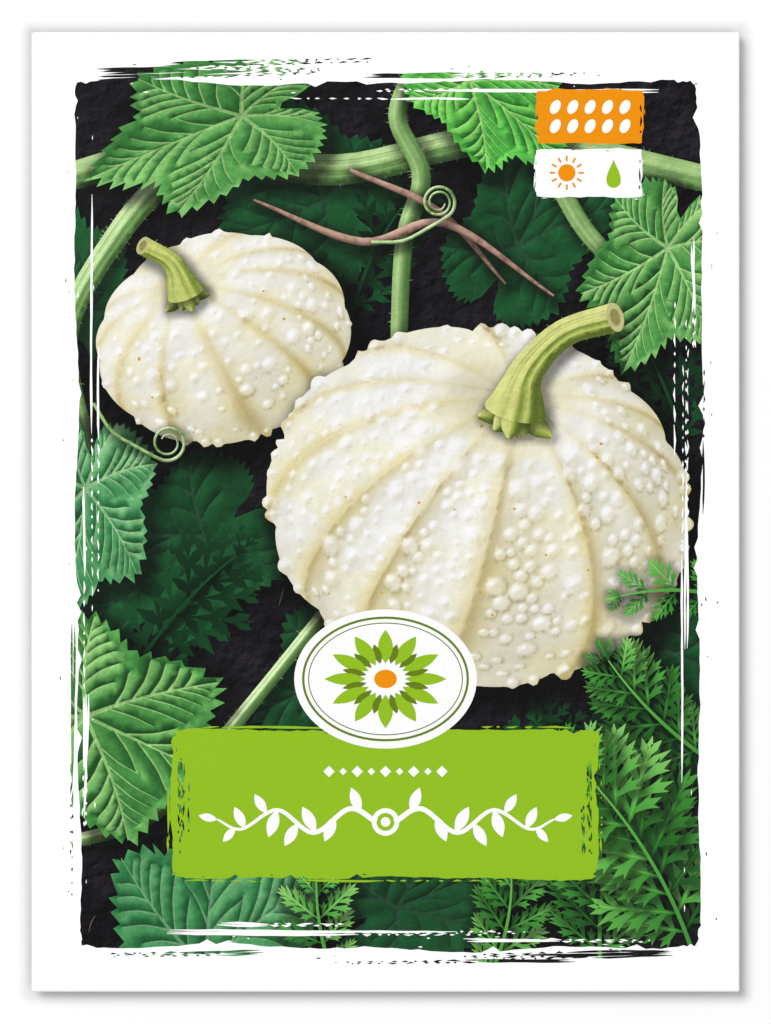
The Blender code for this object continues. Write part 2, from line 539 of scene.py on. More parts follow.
def product(tree, first, *others):
    for other in others:
        first = maths(tree, "MULTIPLY", first, other)
    return first


def vectorMaths(tree, operation, inputs):
    return addNode(tree, "ShaderNodeVectorMath", {"operation": operation}, inputs).outputs


def noise(tree, place, scale, detail=3.0, roughness=0.5):
    inputs = {"Vector": place, "Scale": scale, "Detail": detail, "Roughness": roughness}
    return addNode(tree, "ShaderNodeTexNoise", None, inputs).outputs["Fac"]


def between(tree, value, low, high, outLow, outHigh):
    inputs = {"Value": value, "From Min": low, "From Max": high, "To Min": outLow, "To Max": outHigh}
    return addNode(tree, "ShaderNodeMapRange", None, inputs).outputs["Result"]


def mottled(tree, place, scale, detail, low, high):
    # Noise spread between two levels
    return between(tree, noise(tree, place, scale, detail), 0.3, 0.7, low, high)


def embossed(tree, place, scale, shift, strength, detail=2.0):
    # Light and dark sides of an uneven skin, lit from the picture's own light
    towards = Vector(pictureLight["towards"])
    moved = vectorMaths(tree, "ADD", {0: place, 1: Vector((towards.x, towards.y, 0)) * shift})["Vector"]
    rise = maths(tree, "SUBTRACT", noise(tree, place, scale, detail), noise(tree, moved, scale, detail))
    return maths(tree, "MULTIPLY", rise, strength)


def puckered(tree, place, scale, shift, strength, level):
    return maths(tree, "ADD", embossed(tree, place, scale, shift, strength), level)


def newMaterial(name, roughness):
    material = bpy.data.materials.new(name)
    material.use_nodes = True
    tree = material.node_tree
    shader = tree.nodes["Principled BSDF"]
    shader.inputs["Roughness"].default_value = roughness
    return material, tree, shader, addNode(tree, "ShaderNodeTexCoord").outputs["Object"]


def addBump(tree, shader, height, distance, strength):
    inputs = {"Height": height, "Distance": distance, "Strength": strength}
    bump = addNode(tree, "ShaderNodeBump", None, inputs)
    tree.links.new(bump.outputs["Normal"], shader.inputs["Normal"])


def startMaterial(name, roughness):
    # Smooth coated paper, whose fibres hardly show
    material, tree, shader, place = newMaterial(name, roughness)
    shader.inputs["Specular IOR Level"].default_value = finish["specular"]
    addBump(tree, shader, noise(tree, place, finish["fibre"], 4.0, 0.6), finish["fibreDepth"], 0.5)
    sheen = mottled(tree, place, finish["sheen"], 2.0, roughness - 0.03, roughness + 0.04)
    tree.links.new(sheen, shader.inputs["Roughness"])
    return material, tree, shader, place


def scaled(tree, colour, factor):
    # A colour times a number
    return vectorMaths(tree, "SCALE", {0: colour, "Scale": factor})["Vector"]


def paperMaterial():
    material, tree, shader, place = startMaterial("coated_paper", finish["paperRoughness"])
    cloud = mottled(tree, place, 700.0, 3.0, 0.985, 1.0)
    tree.links.new(scaled(tree, finish["paperWhite"][:3], cloud), shader.inputs["Base Color"])
    return material


def inkMaterial(name, pattern=None):
    # Ink over white paper; a pattern gives how much lighter or darker each place is
    material, tree, shader, place = startMaterial(name, finish["inkRoughness"])
    ink = addNode(tree, "ShaderNodeAttribute", {"attribute_name": "ink"}).outputs["Color"]
    level = product(tree, mottled(tree, place, 1800.0, 2.0, 0.975, 1.02), finish["whiteShare"])
    if pattern:
        level = product(tree, level, pattern(tree, place))
    tree.links.new(scaled(tree, ink, level), shader.inputs["Base Color"])
    return material


def soilPattern(tree, place):
    clods = embossed(tree, place, 420.0, 0.0005, 11.0, 5.0)
    grains = embossed(tree, place, 1500.0, 0.00016, 4.5, 2.0)
    patches = between(tree, noise(tree, place, 110.0, 3.0), 0.32, 0.68, 0.30, 2.2)
    rough = product(tree, patches, maths(tree, "ADD", maths(tree, "ADD", clods, grains), 1.5))
    return maths(tree, "MAXIMUM", rough, 0.15)


def leafPattern(tree, place):
    inputs = {"Vector": place, "Scale": 620.0, "Randomness": 1.0}
    cells = addNode(tree, "ShaderNodeTexVoronoi", {"feature": "DISTANCE_TO_EDGE"}, inputs).outputs["Distance"]
    net = between(tree, cells, 0.0, 0.09, 1.16, 1.0)
    pucker = puckered(tree, place, 560.0, 0.0004, 1.5, 1.5)
    return product(tree, net, pucker, mottled(tree, place, 260.0, 3.0, 0.84, 1.16))


def stemPattern(tree, place):
    pucker = puckered(tree, place, 900.0, 0.0003, 0.9, 1.5)
    return product(tree, pucker, mottled(tree, place, 300.0, 3.0, 0.9, 1.1))


def squashPattern(tree, place):
    skin = puckered(tree, place, 210.0, 0.0008, 0.55, 1.0)
    pores = puckered(tree, place, 1300.0, 0.0002, 0.16, 1.0)
    return product(tree, skin, pores, mottled(tree, place, 90.0, 2.0, 0.96, 1.03))


inks = {
    "paper": paperMaterial(),
    "plain": inkMaterial("flat_ink"),
    "soil": inkMaterial("soil_ink", soilPattern),
    "leaf": inkMaterial("leaf_ink", leafPattern),
    "stem": inkMaterial("stem_ink", stemPattern),
    "squash": inkMaterial("squash_ink", squashPattern),
}
print("paper and inks mixed")


# The front's picture

front = newPrint((-panelX / mm, panelBottom / mm), (panelX / mm, panelTop / mm))
chance = random.Random(31)

pictureArea = ((-51.4, -72.6), (52.4, 71.8))
soilTone = (0.055, 0.045, 0.064)


stemLook = {
    "rise": 1.15,  # how steeply its sides turn away
    # where lines of mesh points run, from its right side to its left
    "lines": (-0.6, -0.25, 0.1, 0.45, 0.75),
    "hairyLines": (-0.72, 0.1, 0.78),
    # where each streak runs, and how bright it is
    "streaks": ((-0.42, 1.13), (-0.07, 0.84), (0.27, 1.12), (0.58, 0.80)),
    "streakWidths": (0.05, 0.16, 0.16, 0.05),
    "hairWidth": 0.06,
    "hairGlow": 0.45,
    "slim": 1.2,  # up to this width a stem needs no lines of points
}


def layStem(points, widths, tones, ridges=2, casts=(0.5, 1.1), level=1.0, furrow=0.22, steps=8, hairs=0):
    # A round stem or vine with a few ridges, and a hairy one also has streaks
    path = curve(points, steps)
    across = evenly(widths, np.linspace(0, 1, len(path))) / 2
    sides = leftward(path)

    def paint(places):
        along, gap = beside(path, places)
        left = sides[(along * (len(path) - 1)).round().astype(int)]
        share = np.clip((gap * left).sum(1) / evenly(across, along), -1, 1)
        lean = (share + furrow * np.sin(share * np.pi * ridges)) * stemLook["rise"]
        upright = np.sqrt(np.clip(stemLook["rise"] - share**2, 0.08, None))
        return toned(lit(np.column_stack([left * lean[:, None], upright])) * level, tones)

    def hair():
        at, side = chance.uniform(0, len(path) - 1.01), chance.choice((-1, 1))
        k, part = int(at), at % 1
        foot = path[k] * (1 - part) + path[k + 1] * part + sides[k] * across[k] * side * 0.9
        lean = np.array([chance.uniform(-0.3, 0.3), chance.uniform(-0.3, 0.3)])
        tip = foot + sides[k] * side * chance.uniform(0.3, 0.85) + lean
        width = leftOf(tip - foot) / (np.linalg.norm(tip - foot) + 1e-9) * stemLook["hairWidth"]
        return np.array([foot + width, foot - width, tip])

    lay(front, strip(path, widths), "stem", paint, casts=casts)
    if max(widths) > stemLook["slim"]:
        for share in stemLook["hairyLines" if hairs else "lines"]:
            front["dots"].append(path + sides * (across * share)[:, None])
    for share, change in stemLook["streaks"] if hairs else ():
        line = strip(path + sides * (across * share)[:, None], stemLook["streakWidths"])
        lay(front, line, "stem", lambda places, change=change: paint(places) * change)
    if hairs:
        drawn, glow = [hair() for _ in range(hairs)], stemLook["hairGlow"]
        lay(front, drawn, "plain", lambda places: mixed(paint(places), tones[-1], glow))
    return paint


leafShape = {
    # how far the edge is from the stalk's end, by degrees from the middle lobe
    "angles": (0, 14, 30, 52, 66, 84, 108, 124, 146, 166, 180),
    "reach": (1.0, 0.86, 0.70, 0.90, 0.78, 0.60, 0.74, 0.66, 0.56, 0.44, 0.10),
    "lobes": (0, 52, -52, 108, -108),
    "hindLobes": (150, -150),  # veined on their outer sides alone
    "teeth": 58,
    "sweep": 344,  # the degrees that they go round
    "toothDepth": 0.055,
    "sideVeins": (0.20, 0.34, 0.48, 0.61, 0.73, 0.84),
    "veinWidth": 0.030,
    "veinSway": 0.035,
    "veinEnd": 0.95,  # how near to the edge a side vein comes
    "shortVein": 0.06,  # shorter ones are left out
    "pillow": (0.75, 0.045),  # how steeply the blade rises from its veins, and how far from them
    "fold": (0.12, -0.42),  # how its two halves lean
    "bow": 0.35,  # how far it bends to the side for a wilt of 1
}


def leafReach(degrees):
    folded = np.abs((np.asarray(degrees) + 180) % 360 - 180)
    return np.interp(folded, leafShape["angles"], leafShape["reach"])


def leafEdge():
    # The toothed outline, in shares of the leaf's size from the stalk's end
    count, sweep = leafShape["teeth"], leafShape["sweep"]
    pitch = sweep / count
    angles, reach = [], []
    for number in range(count):
        turn = -sweep / 2 + sweep * number / (count - 1) + chance.uniform(-1, 1)
        depth = leafShape["toothDepth"] * chance.uniform(0.6, 1.3)
        angles += [turn, turn + pitch * 0.55]
        reach += [leafReach(turn) * (1 - depth * 0.6), leafReach(turn + pitch * 0.5) * (1 + depth)]
    angles = np.radians(angles)
    return np.stack([np.array(reach) * np.cos(angles), np.array(reach) * np.sin(angles)], axis=1)


def veinLength(start, turn, limit):
    # How far a side vein runs until it is close to the edge
    length, step = 0.0, 0.02
    while length < limit:
        tip = start + way(turn) * (length + step)
        if np.hypot(*tip) > leafShape["veinEnd"] * leafReach(degreesOf(tip)):
            break
        length += step
    return length


def leafVeins(far):
    # A vein to each lobe with its side veins, and their widths; a far leaf has fewer
    veins, widths = [], []
    wide, sway = leafShape["veinWidth"], leafShape["veinSway"]
    for lobe in leafShape["lobes"] + (() if far else leafShape["hindLobes"]):
        length, along = leafReach(lobe), way(math.radians(lobe))
        left = leftOf(along)
        spine = [along * length * t + left * sway * math.sin(t * 3.0) for t in np.linspace(0, 0.985, 9)]
        veins.append(np.array(spine))
        widths.append((wide, wide * 0.5, 0.006))
        sides = [math.copysign(1, lobe)] if lobe in leafShape["hindLobes"] else (-1, 1)
        for number, share in enumerate(leafShape["sideVeins"][:: 2 if far else 1]):
            for side in sides:
                start = along * length * (share + 0.03 * side) + left * sway * math.sin(share * 3.0)
                turn = math.radians(lobe + side * (44 - 8 * share))
                reach = veinLength(start, turn, (0.46 if number else 0.30) * (1.05 - share) * length + 0.05)
                if reach > leafShape["shortVein"]:
                    middle = start + way(turn - side * 0.10) * reach * 0.55
                    veins.append(np.array([start, middle, start + way(turn) * reach]))
                    widths.append((wide * 0.42, wide * 0.3, 0.004))
    return veins, widths


def layLeaf(base, heading, size, squeeze, tones, veinTone, level=1.0, casts=(0.6, 1.6), wilt=0.0):
    # A lobed and toothed leaf seen at a slant, with raised veins and puckered panels between them
    edge = leafEdge()
    veins, widths = leafVeins(far=level < 0.5)
    starts = np.vstack([vein[:-1] for vein in veins])
    steps = np.vstack([np.diff(vein, axis=0) for vein in veins])
    bend = wilt * leafShape["bow"]

    def toPaper(points):
        points = asPoints(points)
        bowed = np.stack([points[:, 0], points[:, 1] + bend * points[:, 0] ** 2], axis=1)
        return turned(bowed * (size, size * squeeze), heading) + base

    def toLocal(points):
        back = turned(points - base, -heading) / (size, size * squeeze)
        return np.stack([back[:, 0], back[:, 1] - bend * back[:, 0] ** 2], axis=1)

    def paint(places):
        inner = toLocal(places)
        gap = inBatches(lambda part: nearestStretch(starts, steps, part)[2], inner)
        distance = np.linalg.norm(gap, axis=1)
        rise, reach = leafShape["pillow"]
        pillow = -gap / (distance[:, None] + 1e-4) * (rise * np.exp(-distance / reach))[:, None]
        steep, sideways = leafShape["fold"]
        fold = np.stack([np.full(len(inner), steep), sideways * np.sign(inner[:, 1])], axis=1)
        pillow, fold, droop = (turned(lean, heading) for lean in (pillow, fold, 0.5 * inner))
        normal = np.column_stack([pillow + fold * 0.5 + droop * 0.5, np.ones(len(inner))])
        outward = np.hypot(*inner.T) / (leafReach(np.degrees(np.arctan2(inner[:, 1], inner[:, 0]))) + 0.01)
        light = lit(normal) * level * (0.90 + 0.10 * smooth(outward, 0.0, 0.8))
        return toned(light + 0.06 * smooth(outward, 0.9, 1.05), tones)

    def paintVein(places):
        return mixed(paint(places), veinTone, 0.62) * (0.55 + 0.45 * level)

    lay(front, toPaper(edge), "leaf", paint, casts=casts, solid=True)
    strokes = [toPaper(strip(curve(vein, 3), width)) for vein, width in zip(veins, widths)]
    lay(front, strokes, "leaf", paintVein)
    front["creases"] += [toPaper(vein + 0.02 * leftward(vein)) for vein in veins[:: len(veins) // 5]]


frondShape = {
    # lobes along a side leaflet, as shares of its length: where each starts, how long it is, and its
    # lean in degrees; the first ones have a tooth on each side
    "lobes": ((0.14, 0.30, 52), (0.31, 0.37, 47), (0.48, 0.35, 42), (0.64, 0.29, 36), (0.78, 0.20, 30)),
    "lobeWidth": 0.042,
    "coarseWidth": 1.9,  # how much wider a far one's lobes are
    "toothed": 3,
    "pitch": 3.5,
    "ribWidths": (0.75, 0.55, 0.22),
    "veinWidths": (0.26, 0.10),
}


def sideLeaflet(length, coarse):
    # A flat side leaflet along +x: narrow pointed lobes to both sides of its rib
    halves = []
    for side in (1, -1):
        line = [np.array([0.0, 0.012])]
        for number, (at, reach, lean) in enumerate(frondShape["lobes"][:: 2 if coarse else 1]):
            reach *= chance.uniform(0.86, 1.14)
            out = way(math.radians(lean + chance.uniform(-6, 6)))
            across = leftOf(out) * frondShape["lobeWidth"] * (frondShape["coarseWidth"] if coarse else 1.0)
            foot = np.array([at + 0.03 * (side < 0), 0.010])
            tooth = number < frondShape["toothed"] and not coarse
            # how far out each corner of the lobe is, and how far to its side
            corners = [(0.40, 1.0), (1.0, 0.0), (0.40, -1.0)]
            if tooth:
                corners[1:1] = [(0.78, 2.1), (0.66, 0.9)]
                corners[4:4] = [(0.66, -0.9), (0.80, -2.0)]
            line.append(foot + across * 0.7)
            line += [foot + out * reach * far + across * aside for far, aside in corners]
            line.append(foot + out * 0.04 - across * 0.6)
        line.append(np.array([0.90, 0.030]))
        halves.append(np.array(line) * (1, side))
    return np.vstack([halves[0], [(1.0, 0.0)], halves[1][::-1]]) * length


def layFrond(base, heading, length, bend, tones, level=1.0, coarse=False, casts=(0.42, 0.7)):
    # A feathery leaf: a bending midrib with pairs of side leaflets, each shaded on its own
    steps = np.array([way(math.radians(heading + turn)) for turn in np.linspace(0, bend, 9)])
    rib = np.vstack([base, base + np.cumsum(steps, axis=0) * length / len(steps)])
    pairs = max(4, int(length / frondShape["pitch"]))

    def shaded(root, size, tone):
        def paint(places):
            share = np.clip(np.linalg.norm(places - root, axis=1) / size, 0, 1)
            return toned((0.34 + 0.34 * share + tone) * level, tones)

        return paint

    for number in range(pairs):
        share = 0.16 + 0.84 * number / (pairs - 1)
        root = np.array([evenly(rib[:, k], share) for k in range(2)])
        reach = length * (0.34 * math.sin(math.pi * min(1.0, share * 0.74 + 0.16)) + 0.07)
        for side in (-1, 1) if number < pairs - 1 else (-1, 1, 0):
            turn = heading + bend * share + side * (58 - 20 * share) + chance.uniform(-8, 8)
            size = reach * chance.uniform(0.88, 1.12)
            leaflet = turned(sideLeaflet(size, coarse) * (1, chance.uniform(0.75, 1.1)), turn) + root
            tone = chance.uniform(-0.16, 0.22)
            lay(front, leaflet, "plain", shaded(root, size, tone), casts=None if coarse else casts)
            if not coarse:
                vein = strip(turned([(0, 0), (size * 0.9, 0)], turn) + root, frondShape["veinWidths"])
                lay(front, vein, "plain", shaded(root, size * 0.8, tone + 0.14))
    midrib = strip(curve(rib, 3), frondShape["ribWidths"])
    lay(front, midrib, "plain", shaded(rib[0], length * 1.4, 0.16), casts=(0.4, 0.6))


def layTendril(start, heading, size, tones, coils=2.2):
    # A thin shoot that runs straight and then winds up
    angles = np.linspace(0, coils * 2 * np.pi, 46)
    radius = size * 0.22 * (1 - 0.62 * angles / angles[-1])
    across, up = radius * np.cos(angles - np.pi / 2), radius * np.sin(angles - np.pi / 2)
    wound = np.stack([across, up + size * 0.22], axis=1)
    lead = np.array([(-size, 0.10 * size), (-size * 0.62, -0.05 * size), (-size * 0.25, -0.03 * size)])
    shoot = turned(np.vstack([lead, wound[::2]]), heading) + start
    layStem(shoot, (0.6, 0.55, 0.48, 0.40, 0.34, 0.26), tones, 0, (0.35, 0.8), level=0.95, steps=3)


squashLook = {
    "tones": [
        (0.38, 0.34, 0.23),
        (0.65, 0.61, 0.46),
        (0.850, 0.831, 0.752),
        (0.918, 0.911, 0.876),
        (0.946, 0.943, 0.926),
        (0.962, 0.962, 0.955),
    ],
    "stalkTones": [(0.13, 0.17, 0.05), (0.33, 0.39, 0.14), (0.53, 0.58, 0.27), (0.71, 0.72, 0.45)],
    "stalkEnd": ((0.62, 0.61, 0.42), (0.47, 0.46, 0.27)),
    "grooveDepth": 0.34,
    "grooveRound": 0.65,  # the lower, the narrower the grooves between round ribs
    "grooveShade": 0.32,
    "wellShade": 0.42,
    "shade": 0.265,
    "exposure": 0.52,
    "wartGlow": 0.06,
    "wartSteep": 4.3,
    "wartShadow": 0.17,
    "wartTone": (0.985, 0.98, 0.995),
    "wartShare": 0.80,
    "wartRoom": 0.9,  # how near two warts may be, as a share of both radii
    "shallow": 0.35,  # the least that the skin's slant narrows a wart
    "grooveTint": (1.0, 0.970, 0.845),
    "blotchTint": (0.995, 0.985, 0.915),
    "blotchWaves": ((6, 3), (-4, 8), (13, -7), (5, 17)),
    # rings of points that carry a wart's shading, as shares of its radius, with fewer on small ones
    "wartRings": (
        ((0.0, 1), (0.35, 5), (0.68, 8), (0.95, 11), (1.25, 10)),
        ((0.0, 1), (0.50, 5), (0.95, 8), (1.30, 6)),
    ),
    "smallWart": 0.75,
    "speck": (0.80, 0.63, 0.25),
}


def squashForm(squash):
    # The squash is a ball drawn as an oval disc; this adds where its stalk's end and ribs are on the ball
    x, y = squash["pole"]
    axis = np.array([x, y, math.sqrt(1 - x**2 - y**2)])
    east = np.cross((0.0, 0.0, 1.0), axis)
    east /= np.linalg.norm(east)
    added = {"axis": axis, "east": east, "north": np.cross(axis, east), "shift": chance.uniform(0, 6)}
    return squash | added | {"middle": np.asarray(squash["middle"], float)}


def onPaper(form, points):
    return turned(asPoints(points) * form["radii"], form["roll"]) + form["middle"]


def around(form, normal):
    # The angle from the stalk's end and the turn round it
    polar = np.arccos(np.clip(normal @ form["axis"], -1, 1))
    return polar, np.arctan2(normal @ form["east"], normal @ form["north"])


def crest(form, turn):
    # 1 on top of a rib and 0 in the groove beside it; the ribs aren't quite alike
    uneven = turn + 0.10 * np.sin(2 * turn + form["shift"]) + 0.05 * np.sin(5 * turn + form["shift"])
    return np.abs(np.cos(uneven * form["ribs"] / 2))


def addWart(form, warts, spot, size, deep):
    # deep is how squarely the skin faces the viewer there
    place = onPaper(form, [spot])[0]
    for other in warts:
        if np.linalg.norm(place - other["place"]) <= (size + other["size"]) * squashLook["wartRoom"]:
            return False
    warts.append({"place": place, "size": size, "spot": spot, "deep": deep})
    return True


def squashEdge(form, warts):
    # The outline, lobed by the ribs, with warts that stand out beyond it
    angles = np.linspace(0, 2 * np.pi, int(9 * form["radii"][0]), endpoint=False)
    rim = np.stack([np.cos(angles), np.sin(angles), np.zeros(len(angles))], axis=1)
    lobed = 1 - 0.035 * (1 - crest(form, around(form, rim)[1]) ** squashLook["grooveRound"])
    outward = onPaper(form, rim[:, :2] * lobed[:, None]) - form["middle"]
    length = np.linalg.norm(outward, axis=1)
    outward /= length[:, None]
    while len(warts) < form["warts"] // 6:
        turn, size = chance.uniform(0, 360), chance.uniform(0.6, 1.25) * form["wartSize"]
        if addWart(form, warts, turned([(0.985, 0)], turn)[0], size, 1.0):
            away = warts[-1]["place"] - form["middle"]
            ahead = outward @ away
            inside = ahead**2 - (away**2).sum() + size**2
            length = np.where(inside > 0, np.maximum(length, ahead + np.sqrt(np.maximum(inside, 0))), length)
    return form["middle"] + outward * length[:, None]


def scatterWarts(form, warts):
    # Warts over the skin, off the grooves and the stalk
    most, tries = len(warts) + form["warts"], 0
    while len(warts) < most and tries < form["warts"] * 60:
        tries += 1
        spot = np.array([chance.uniform(-0.95, 0.95), chance.uniform(-0.95, 0.95)])
        if np.hypot(*spot) > 0.93:
            continue
        deep = math.sqrt(1 - spot @ spot)
        polar, turn = around(form, np.array([[spot[0], spot[1], deep]]))
        size = chance.uniform(0.6, 1.0) * (1.75 if chance.random() < 0.40 else 1.1) * form["wartSize"]
        if polar[0] > 0.40 and crest(form, turn)[0] > 0.30:
            addWart(form, warts, spot, size, deep)


def wartShading(form, warts, places, tilt):
    # Tilts the skin round each wart, and gives its glow and shadow, and how white it is
    pale, whitened = np.zeros(len(places)), np.zeros(len(places))
    for wart in warts:
        near = np.nonzero((np.abs(places - wart["place"]) < wart["size"] * 1.5).all(1))[0]
        if len(near) == 0:
            continue
        offsets = places[near] - wart["place"]
        out = turned([wart["spot"]], form["roll"])[0]
        out = out / (np.linalg.norm(out) + 1e-9)
        deep = max(wart["deep"], squashLook["shallow"])
        along = np.stack([(offsets @ out) / deep, offsets @ leftOf(out)], axis=1)
        ratio = np.linalg.norm(along, axis=1) / wart["size"]
        steep = np.where(ratio < 1, ratio * (1 - ratio**2) * squashLook["wartSteep"], 0)
        tilt[near] += offsets / (np.linalg.norm(offsets, axis=1, keepdims=True) + 1e-6) * steep[:, None]
        pale[near] += np.where(ratio < 1, squashLook["wartGlow"], 0)
        whitened[near] = np.maximum(whitened[near], np.sqrt(np.clip(1 - ratio**2, 0, 1)))
        skirt = np.clip(1 - np.abs(ratio - 1.12) / 0.3, 0, 1)
        down = (offsets @ np.array([0.62, -0.78])) / (wart["size"] + 1e-6)
        pale[near] -= squashLook["wartShadow"] * skirt * np.clip(0.40 + down, 0, 1.2)
    return pale, whitened


def skinLean(form, normal, polar, turn, fade):
    # Which way the ribbed skin faces at each place on the ball
    def height(at):
        return squashLook["grooveDepth"] * crest(form, at) ** squashLook["grooveRound"]

    slope = (height(turn + 0.012) - height(turn - 0.012)) / 0.024
    sideways = np.cross(form["axis"], normal)
    sideways /= np.linalg.norm(sideways, axis=1, keepdims=True) + 1e-6
    leaning = normal - sideways * (np.clip(slope, -2.2, 2.2) * fade * 0.62)[:, None]
    inward = form["axis"] - normal * (normal @ form["axis"])[:, None]
    inward /= np.linalg.norm(inward, axis=1, keepdims=True) + 1e-6
    return leaning + inward * (1.5 * np.exp(-((polar - 0.24) ** 2) / 0.022))[:, None]


def paintSquash(form, warts, places):
    # The skin's colours: lit ribs and warts, dim grooves, and a darker well round the stalk
    disc = turned(places - form["middle"], -form["roll"]) / form["radii"]
    reach = np.linalg.norm(disc, axis=1)
    disc = disc * (np.minimum(reach, 0.995) / (reach + 1e-9))[:, None]
    normal = np.column_stack([disc, np.sqrt(1 - (disc**2).sum(1))])
    polar, turn = around(form, normal)
    ridge = crest(form, turn)
    fade = smooth(polar, 0.02, 0.55) * (0.55 + 0.45 * np.sin(polar))
    leaning = skinLean(form, normal, polar, turn, fade)
    tilt = turned(leaning[:, :2], form["roll"])
    pale, whitened = wartShading(form, warts, places, tilt)
    light = lit(np.column_stack([tilt, leaning[:, 2]]))
    valley = 1 - squashLook["grooveShade"] * np.exp(-((ridge / 0.30) ** 2)) * fade
    well = 1 - squashLook["wellShade"] * np.exp(-((polar / 0.20) ** 2))
    away = 0.90 + 0.10 * smooth(normal[:, 2], 0.0, 0.35)
    share = (squashLook["shade"] + light * squashLook["exposure"] + pale) * valley * well * away
    colours = toned(share, squashLook["tones"])
    tint = np.exp(-((ridge / 0.45) ** 2)) * fade + 0.35 * np.exp(-((polar / 0.35) ** 2))
    colours = mixed(colours, colours * np.array(squashLook["grooveTint"]), np.clip(tint, 0, 1))
    slants = enumerate(squashLook["blotchWaves"])
    waves = [np.sin(disc @ np.array(slant) + form["shift"] * k) for k, slant in slants]
    blotch = smooth(sum(waves) / len(waves) + 0.5, 0.35, 0.95)
    colours = mixed(colours, colours * np.array(squashLook["blotchTint"]), blotch)
    white = squashLook["wartShare"] * whitened * smooth(share, 0.30, 0.75)
    return mixed(colours, squashLook["wartTone"], white)


def addGrooves(form):
    # Lines for the mesh to follow along each groove
    turns = np.linspace(-np.pi, np.pi, 1441)
    level = crest(form, turns)
    lows = [turns[k] for k in range(1, 1440) if level[k] < level[k - 1] and level[k] <= level[k + 1]]
    polars = np.linspace(0.12, 3.0, 60)[:, None]
    for turn in lows:
        for offset in (-0.07, 0.0, 0.07):
            heading = form["east"] * math.sin(turn + offset) + form["north"] * math.cos(turn + offset)
            line = form["axis"] * np.cos(polars) + heading * np.sin(polars)
            seen = line[line[:, 2] > 0.06][:, :2]
            if len(seen) > 3:
                front["creases"].append(onPaper(form, seen))


def laySquash(squash):
    # A ribbed and warty squash lying on its side; the pole is where its stalk's end is on the disc
    form, warts = squashForm(squash), []
    outline = squashEdge(form, warts)
    scatterWarts(form, warts)

    def paint(places):
        return paintSquash(form, warts, places)

    lay(front, outline, "squash", paint, casts=(0.78, 2.6), solid=True)
    addGrooves(form)
    for wart in warts:
        size, deep = wart["size"], max(wart["deep"], squashLook["shallow"])
        outwards = degreesOf(turned([wart["spot"]], form["roll"])[0])
        for ratio, count in squashLook["wartRings"][size < squashLook["smallWart"]]:
            ring = oval((0, 0), (size * ratio * deep, size * ratio), count)
            front["dots"].append(turned(ring, outwards) + wart["place"])
    front["dots"].append(onPaper(form, oval((0, 0), (1, 1), 90) * 0.97))
    front["dots"].append(dotsWithin(outline, pitches["squash"]))
    for _ in range(form["warts"] // 16):
        spot = onPaper(form, [(chance.uniform(-0.7, 0.7), chance.uniform(-0.7, 0.5))])[0]
        size = chance.uniform(0.14, 0.34)
        speck = oval(spot, (size, size * 0.8), 9, chance.uniform(0, 180))
        lay(front, speck, "plain", flat(squashLook["speck"]))
    root = onPaper(form, [form["axis"][:2]])[0]
    layStalk([root + turned([step], form["roll"])[0] for step in form["stalk"]], form["stalkWidths"])


def layStalk(points, widths):
    # A stout ridged stalk, its foot spread over the squash and its cut end paler
    path = curve(points, 8)
    foot, rise = path[0], path[3] - path[0]
    upward = degreesOf(rise)
    for lean in (-112, 112, -146, 146, 180):
        reach = widths[0] * (0.66 if abs(lean) < 130 else 0.46) * chance.uniform(0.9, 1.1)
        out = way(math.radians(upward + lean))
        spread = [foot + rise * 0.3, foot + out * reach * 0.55, foot + out * reach]
        lobeWidths = [widths[0] * share for share in (0.50, 0.38, 0.30, 0.08)]
        layStem(spread, lobeWidths, squashLook["stalkTones"], 1, (0.3, 0.5), level=0.92, steps=5)
    paint = layStem(points, widths, squashLook["stalkTones"], 4, (0.45, 0.9), furrow=0.40, hairs=36)
    lay(front, oval(foot, (widths[0] * 0.17, widths[0] * 0.5), 22, upward), "stem", paint)
    heading = degreesOf(path[-1] - path[-3])
    cuts = ((0.28, 0.5, 18), (0.16, 0.30, 14))
    for (short, long, count), tone in zip(cuts, squashLook["stalkEnd"]):
        cut = oval(path[-1], (widths[-1] * short, widths[-1] * long), count, heading)
        lay(front, cut, "stem", flat(tone))


deepGreens = [(0.02, 0.07, 0.03), (0.06, 0.19, 0.08), (0.13, 0.33, 0.14), (0.27, 0.5, 0.24), (0.5, 0.68, 0.4)]
coolGreens = [(0.01, 0.06, 0.03), (0.05, 0.19, 0.10), (0.1, 0.33, 0.17), (0.25, 0.49, 0.3), (0.5, 0.67, 0.47)]
brightGreens = [(0.03, 0.1, 0.03), (0.1, 0.3, 0.1), (0.2, 0.5, 0.18), (0.36, 0.68, 0.28), (0.6, 0.84, 0.46)]
vineGreens = [
    (0.08, 0.13, 0.06),
    (0.20, 0.31, 0.15),
    (0.38, 0.51, 0.29),
    (0.57, 0.68, 0.45),
    (0.78, 0.85, 0.67),
]
dryBrowns = [(0.20, 0.13, 0.11), (0.42, 0.31, 0.27), (0.66, 0.54, 0.48), (0.82, 0.72, 0.66)]


smallSquash = {
    "middle": (-27, 29),
    "radii": (21.5, 17.5),
    "roll": 14,
    "ribs": 12,
    "pole": (-0.20, 0.58),
    "warts": 92,
    "wartSize": 0.78,
    "stalk": [(0, -1.5), (-1, 4), (-5, 8)],
    "stalkWidths": (6.4, 3.8, 3.0, 3.2),
}
largeSquash = {
    "middle": (15.5, 1),
    "radii": (35.5, 30),
    "roll": -9,
    "ribs": 13,
    "pole": (0.10, 0.62),
    "warts": 265,
    "wartSize": 1.10,
    "stalk": [(0, -2), (1, 5), (6, 12), (14, 16)],
    "stalkWidths": (10.5, 6.2, 5.0, 4.6, 5.0),
}


